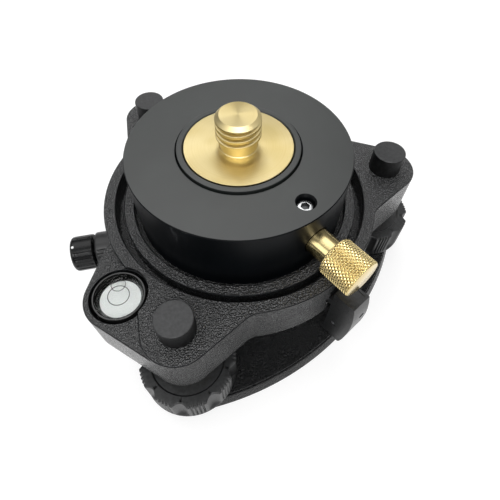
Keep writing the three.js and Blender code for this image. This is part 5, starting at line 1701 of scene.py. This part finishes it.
@dataclass(frozen=True)
class SoftLight:
    """A rectangular lamp that looks at a point of the object."""

    name: str
    place: tuple[float, float, float]
    size: tuple[float, float]
    power: float
    target: tuple[float, float, float] = (0.0, 0.0, 0.03)

    def build(self) -> None:
        """Adds the lamp."""
        data = bpy.data.lights.new(self.name, "AREA")
        data.shape = "RECTANGLE"
        data.size, data.size_y = self.size
        data.energy = self.power
        lamp = bpy.data.objects.new(self.name, data)
        lamp.location = self.place
        look = Vector(self.target) - Vector(self.place)
        lamp.rotation_euler = look.to_track_quat("-Z", "Y").to_euler()
        bpy.context.scene.collection.objects.link(lamp)


@dataclass(frozen=True)
class Studio:
    """A pale floor, a soft surround that is brightest overhead, and soft lamps."""

    floor_size: float = 6.0
    floor_colour: Colour = (0.5, 0.5, 0.5)
    floor_lift: float = 0.58
    overhead: float = 0.6
    horizon: float = 0.1
    horizon_end: float = 0.3
    lamps: tuple[SoftLight, ...] = (
        SoftLight("key", (-0.1, 0.4, 0.78), (1.0, 0.6), 2.7),
        SoftLight("fill", (-0.65, -0.3, 0.5), (0.5, 0.5), 1.2),
        SoftLight("rim", (0.65, 0.15, 0.4), (0.4, 0.5), 0.6),
        SoftLight("strip", (0.15, 0.95, 0.22), (0.9, 0.12), 1.4),
        SoftLight("front", (-0.05, -0.5, 0.75), (0.5, 0.4), 3.8),
    )

    def build(self) -> None:
        """Adds the floor, the surround and the lamps."""
        half = self.floor_size / 2 / MM
        floor = Form.prism([(-half, -half), (half, -half), (half, half), (-half, half)], -0.5, 0)
        made = floor.finished("studio_floor")
        made.data.materials.append(self._floor_material())
        self._surround()
        for lamp in self.lamps:
            lamp.build()

    def _floor_material(self) -> bpy.types.Material:
        material = bpy.data.materials.new("studio_floor")
        material.use_nodes = True
        nodes = Nodes(material.node_tree)
        nodes.tinted(nodes.noise(40.0), self.floor_colour, 0.99, 1.0)
        nodes.set(roughness=0.75, specular_ior_level=0.2, emission_color=(1, 1, 1, 1),
                  emission_strength=nodes.math("MULTIPLY", nodes.background(), self.floor_lift))
        return material

    def _surround(self) -> None:
        world = bpy.data.worlds.new("surround")
        world.use_nodes = True
        nodes = Nodes(world.node_tree, "Generated")
        height = nodes.add("SeparateXYZ", vector=nodes.place).outputs["Z"]
        glow = nodes.ramp(height, self.horizon, self.overhead, self.horizon_end, 1.0)
        camera = nodes.add("LightPath").outputs["Is Camera Ray"]
        nodes.fill(nodes.tree.nodes["Background"], color=(1, 1, 1, 1),
                   strength=nodes.math("MAXIMUM", glow, camera))
        bpy.context.scene.world = world


@dataclass(frozen=True)
class Viewpoint:
    """The camera, in millimetres and degrees."""

    place: tuple[float, float, float] = (-19.36, -105.48, 169.01)
    yaw: float = 11.446
    pitch: float = -54.979
    roll: float = -0.300
    lens: float = 28.676
    sensor: float = 36.0
    shift: tuple[float, float] = (0.0107, -0.0298)

    def build(self) -> None:
        """Adds the camera and makes it the scene's."""
        data = bpy.data.cameras.new("camera")
        data.sensor_width = self.sensor
        data.lens = self.lens
        data.shift_x, data.shift_y = self.shift
        data.clip_start = 0.01
        camera = bpy.data.objects.new("camera", data)
        turn = Matrix.Translation(Vector(self.place) * MM)
        for degrees, axis in ((-self.yaw, "Z"), (90 + self.pitch, "X"), (self.roll, "Z")):
            turn = turn @ Matrix.Rotation(math.radians(degrees), 4, axis)
        camera.matrix_world = turn
        bpy.context.scene.collection.objects.link(camera)
        bpy.context.scene.camera = camera


def main() -> None:
    """Builds the scene in order."""
    logging.basicConfig(level=logging.INFO, format="%(name)s: %(message)s")
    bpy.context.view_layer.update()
    bpy.context.scene.view_settings.view_transform = "Standard"
    parts = visible_parts()
    for part in parts:
        part.build()
    WhiteDot().build()
    for line in LEVEL_LINES:
        line.build()
    HiddenFinishes().apply(frame["nodes"], {part.node for part in parts})
    Studio().build()
    Viewpoint().build()
    log.info("built %d pieces", len(parts))


if __name__ == "__main__":
    main()
